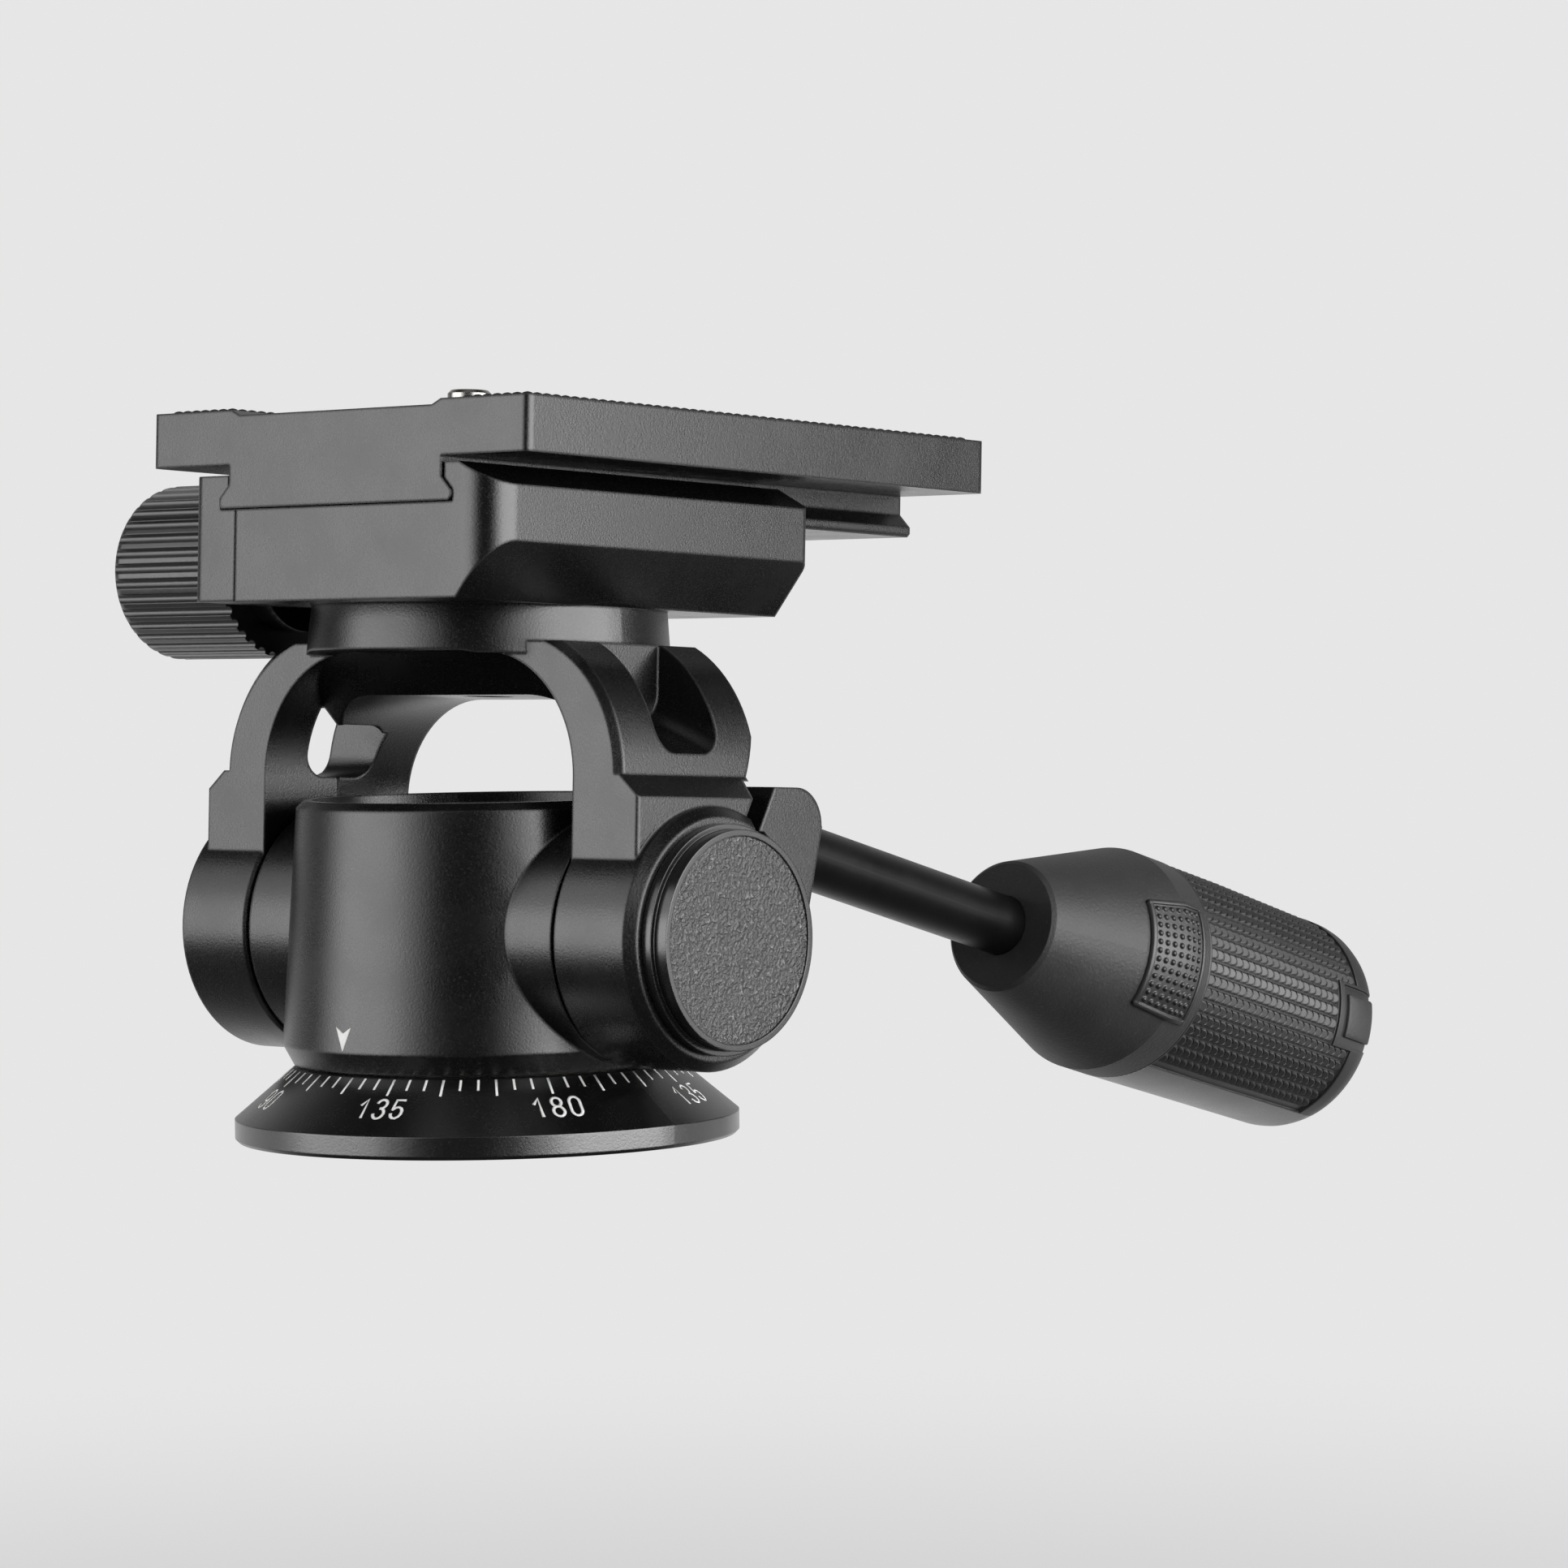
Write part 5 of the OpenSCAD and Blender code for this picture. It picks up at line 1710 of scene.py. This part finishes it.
@dataclass
class GripEnd:
    """The domed end of the grip's core, with the lug that keys into the sleeve.

    Attributes:
        dome: Drop under the core's radius and reach past the grip's end, at each step.
        dome_foot: Depth of the dome's foot in the sleeve.
        lug: Angles between which the lug lies, in degrees up from the outward side.
        lug_reach: Where the lug starts and ends, from the start of the sleeve's rounded end.
        lug_over: Height of the lug over the sleeve.
        lug_sink: Depth of the lug's foot in the core.
        lug_slope: Drop and length of the slope at its end.
        lug_edge: Rounding of the lug.
    """

    dome: Steps = ((0.1, -0.1), (0.6, 0.5), (2.2, 1.1), (5.0, 1.4))
    dome_foot: float = 1.0
    lug: tuple[float, float] = (-9.5, 14.5)
    lug_reach: tuple[float, float] = (-3.9, 1.9)
    lug_over: float = 0.12
    lug_sink: float = 0.4
    lug_slope: tuple[float, float] = (0.3, 0.8)
    lug_edge: float = 0.25

    def build(self) -> None:
        """Builds the end and lays it on the handle."""
        end = joined("grip_end_lug", [self._dome(), self._lug()])
        end.data.transform(LAYOUT.on_handle())
        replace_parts(dress(end, MOULDED_BLACK, "handle"), "grip_cap")

    def _dome(self) -> Piece:
        """The core's end, rounded off in steps.

        Returns:
            The dome.
        """
        foot = GRIP.rubber_edge_s + GRIP.core_end - self.dome_foot
        rise = [(GRIP.core_r - drop, GRIP.end_s + s) for drop, s in self.dome]
        section = [(AXIS_R, foot), (rise[0][0], foot), *rise, (AXIS_R, rise[-1][1])]
        return turned("dome", section)

    def _lug(self) -> Piece:
        """The lug in the sleeve's notch.

        Returns:
            The lug.
        """
        start, stop = (GRIP.rubber_edge_s + reach for reach in self.lug_reach)
        over, under = GRIP.outer_r(stop) + self.lug_over, GRIP.core_r - self.lug_sink
        drop, length = self.lug_slope
        section = [
            (under, start),
            (over, start),
            (over, stop - length),
            (over - drop, stop),
            (under, stop),
        ]
        lug = sector("lug", section, *self.lug)
        soften(lug, self.lug_edge)
        return lug


@dataclass(frozen=True)
class SoftBox:
    """A soft box that faces the object.

    Attributes:
        name: Name of the lamp.
        azimuth: Azimuth of its middle from the front, in degrees.
        elevation: Elevation of its middle.
        size: Width and height in metres.
        power: Power in watts.
    """

    name: str
    azimuth: float
    elevation: float
    size: tuple[float, float]
    power: float


# A wide box on each side with a smaller one before its lower part, so that its light falls off
# softly where the black finishes mirror it, and a weak box overhead
SOFT_BOXES = (
    SoftBox("lamp_left", -25.0, 14.0, (1.25, 0.95), 5.3),
    SoftBox("lamp_left_core", -27.0, 4.0, (0.75, 0.46), 2.2),
    SoftBox("lamp_right", 97.0, 14.0, (1.40, 0.95), 10.6),
    SoftBox("lamp_right_core", 103.0, 4.0, (1.0, 0.46), 5.0),
    SoftBox("lamp_top", 40.0, 80.0, (0.6, 0.6), 0.25),
)


@dataclass
class Studio:
    """Camera, soft boxes, pale floor and background.

    Attributes:
        focal_px: Focal length in pixels of the whole frame.
        frame_px: Side of the frame in pixels.
        azimuth: Azimuth of the camera from the front, in degrees.
        elevation: Elevation of the camera.
        roll: Roll of the camera.
        distance: From the target to the camera.
        target: Point that the camera looks at.
        sensor: Width of the sensor.
        clip: Nearest and farthest that the camera sees, in metres.
        pale: sRGB hex colour of the background and the floor as they are seen.
        room_front: Strength of the background that lies towards the camera, where it is mirrored.
        room_back: Strength of the background behind the object, where it is mirrored.
        room_turn: Cosines from the way the camera looks between which the strength changes.
        floor_size: Side of the floor in metres.
        floor_drop: Depth of the floor under the base.
        floor_colour: sRGB hex colour of the floor as it is lit.
        shade_reach: Distances from the object over which the floor's shadow fades, in metres.
        shade_share: Share of the lit floor in what is seen next to the object.
        floor_near: Strength of the floor before and under the object, where it is mirrored, kept low
            there as painted shade.
        floor_far: Strength of the floor behind the object, where it is mirrored.
        floor_behind: Distances behind the object over which that strength changes, in metres.
        lamp_away: From the lamps' aim to each lamp, in metres.
        lamp_aim: Point that the lamps face.
    """

    focal_px: float = 6294.9
    frame_px: float = 1932.0
    azimuth: float = 40.874
    elevation: float = 1.751
    roll: float = -0.897
    distance: float = 572.635
    target: tuple[float, float, float] = (50.347, -3.246, 42.352)
    sensor: float = 36.0
    clip: tuple[float, float] = (0.05, 50.0)
    pale: str = "#e6e6e6"
    room_front: float = 0.02
    room_back: float = 0.6
    room_turn: tuple[float, float] = (0.35, 0.95)
    floor_size: float = 8.0
    floor_drop: float = 112.0
    floor_colour: str = "#9a9a9a"
    shade_reach: tuple[float, float] = (0.1, 0.6)
    shade_share: float = 0.35
    floor_near: float = 0.05
    floor_far: float = 1.0
    floor_behind: tuple[float, float] = (0.04, 0.2)
    lamp_away: float = 0.9
    lamp_aim: tuple[float, float, float] = (0.0, 20.0, 45.0)

    def build(self) -> None:
        """Sets the camera, background, floor and lamps."""
        bpy.context.scene.view_settings.view_transform = "Standard"
        self._camera()
        self._world()
        self._floor()
        for box in SOFT_BOXES:
            self._lamp(box)

    def _toward(self, azimuth: float, elevation: float) -> Vector:
        """Direction from the object to a place round it."""
        a, e = math.radians(azimuth), math.radians(elevation)
        return Vector((math.sin(a) * math.cos(e), -math.cos(a) * math.cos(e), math.sin(e)))

    def _camera(self) -> None:
        """Places the camera at the photograph's angle."""
        back = self._toward(self.azimuth, self.elevation)
        right = Vector((0, 0, 1)).cross(back).normalized()
        up = back.cross(right)
        turn = math.radians(self.roll)
        side = right * math.cos(turn) + up * math.sin(turn)
        over = up * math.cos(turn) - right * math.sin(turn)
        lens = bpy.data.cameras.new("camera")
        lens.sensor_width = self.sensor
        lens.lens = self.focal_px / self.frame_px * self.sensor
        lens.clip_start, lens.clip_end = self.clip
        camera = bpy.data.objects.new("camera", lens)
        bpy.context.collection.objects.link(camera)
        place = Matrix((side, over, back)).transposed().to_4x4()
        place.translation = (Vector(self.target) + back * self.distance) * MM
        camera.matrix_world = place
        bpy.context.scene.camera = camera

    def _seen(self, tree: Tree) -> Socket:
        """Tells the rays by which the background itself is seen, straight or through glass.

        Args:
            tree: Node tree that asks.

        Returns:
            The socket that is one for such rays.
        """
        path = add_node(tree, "ShaderNodeLightPath").outputs
        both = {0: path["Is Camera Ray"], 1: path["Is Transmission Ray"]}
        return add_node(tree, "ShaderNodeMath", both, operation="MAXIMUM").outputs[0]

    def _world(self) -> None:
        """Makes the background pale where it is seen, and dim towards the camera where it is mirrored."""
        world = bpy.data.worlds.new("studio")
        bpy.context.scene.world = world
        world.use_nodes = True
        tree = world.node_tree
        tree.nodes.clear()
        way = add_node(tree, "ShaderNodeTexCoord").outputs["Generated"]
        ahead = {0: way, 1: -self._toward(self.azimuth, 0.0)}
        facing = add_node(tree, "ShaderNodeVectorMath", ahead, operation="DOT_PRODUCT")
        span = {
            "Value": facing.outputs["Value"],
            "From Min": self.room_turn[0],
            "From Max": self.room_turn[1],
            "To Min": self.room_front,
            "To Max": self.room_back,
        }
        room = add_node(tree, "ShaderNodeMapRange", span, interpolation_type="SMOOTHSTEP").outputs[0]
        brighter = {0: room, 1: self._seen(tree)}
        level = add_node(tree, "ShaderNodeMath", brighter, operation="MAXIMUM").outputs[0]
        pale = add_node(
            tree, "ShaderNodeBackground", {"Color": linear(self.pale), "Strength": level}
        )
        add_node(tree, "ShaderNodeOutputWorld", {"Surface": pale.outputs["Background"]})

    def _floor(self) -> None:
        """Lays a pale floor below the reach of the handle."""
        clear_selection()
        bpy.ops.mesh.primitive_plane_add(
            size=self.floor_size, location=(0, 0, -self.floor_drop * MM)
        )
        floor = bpy.context.object
        floor.name = "floor"
        floor.data.materials.append(self._floor_material())

    def _floor_material(self) -> bpy.types.Material:
        """Pale like the background where it is seen, with a faint shadow next to the object, and painted
        shade before and under the object where it is mirrored.

        Returns:
            The material.
        """
        made = bpy.data.materials.new("pale_floor")
        made.use_nodes = True
        tree = made.node_tree
        tree.nodes.clear()
        place = add_node(tree, "ShaderNodeTexCoord").outputs["Object"]
        reach = add_node(tree, "ShaderNodeVectorMath", {0: place}, operation="LENGTH")
        fade = {
            "Value": reach.outputs["Value"],
            "From Min": self.shade_reach[0],
            "From Max": self.shade_reach[1],
            "To Min": self.shade_share,
            "To Max": 0.0,
        }
        near = add_node(tree, "ShaderNodeMapRange", fade, interpolation_type="SMOOTHSTEP").outputs[0]
        ahead = {0: place, 1: -self._toward(self.azimuth, 0.0)}
        behind = add_node(tree, "ShaderNodeVectorMath", ahead, operation="DOT_PRODUCT")
        span = {
            "Value": behind.outputs["Value"],
            "From Min": self.floor_behind[0],
            "From Max": self.floor_behind[1],
            "To Min": self.floor_near,
            "To Max": self.floor_far,
        }
        level = add_node(tree, "ShaderNodeMapRange", span, interpolation_type="SMOOTHSTEP").outputs[0]
        colour = linear(self.pale)
        lit = add_node(tree, "ShaderNodeBsdfDiffuse", {"Color": linear(self.floor_colour)}).outputs[0]
        pale = add_node(tree, "ShaderNodeEmission", {"Color": colour, "Strength": 1.0}).outputs[0]
        # The floor as it is mirrored, dimmed before and under the object as painted shade
        glint = add_node(tree, "ShaderNodeEmission", {"Color": colour, "Strength": level}).outputs[0]
        glossy = add_node(tree, "ShaderNodeLightPath").outputs["Is Glossy Ray"]
        shown = add_node(tree, "ShaderNodeMixShader", {0: near, 1: pale, 2: lit}).outputs[0]
        unseen = add_node(tree, "ShaderNodeMixShader", {0: glossy, 1: lit, 2: glint}).outputs[0]
        both = add_node(tree, "ShaderNodeMixShader", {0: self._seen(tree), 1: unseen, 2: shown})
        add_node(tree, "ShaderNodeOutputMaterial", {"Surface": both.outputs[0]})
        return made

    def _lamp(self, box: SoftBox) -> None:
        """Hangs a soft box so that it faces the object.

        Args:
            box: The soft box.
        """
        light = bpy.data.lights.new(box.name, "AREA")
        light.shape = "RECTANGLE"
        light.size, light.size_y = box.size
        light.energy = box.power
        lamp = bpy.data.objects.new(box.name, light)
        bpy.context.collection.objects.link(lamp)
        out = self._toward(box.azimuth, box.elevation)
        lamp.location = Vector(self.lamp_aim) * MM + out * self.lamp_away
        lamp.rotation_euler = out.to_track_quat("Z", "Y").to_euler()
        lamp.visible_camera = False


def dress_nodes(nodes: dict[str, Piece]) -> None:
    """Gives each CAD node its finish.

    Args:
        nodes: CAD nodes by name.
    """
    for name, node in nodes.items():
        node.data.materials.clear()
        node.data.materials.append(NODE_FINISHES[name].material())
        LOG.info("node %s: %s", name, NODE_FINISHES[name].name)


def main() -> None:
    """Loads the frame and builds the sub-assemblies in order."""
    logging.basicConfig(level=logging.INFO, format="%(name)s: %(message)s")
    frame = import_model()
    Studio().build()
    dress_nodes(frame["nodes"])
    for part in (Base(), Drum(), PlatePads(), CameraScrew(), Sleeve(), ThumbPatch(), GripEnd()):
        part.build()


if __name__ == "__main__":
    main()
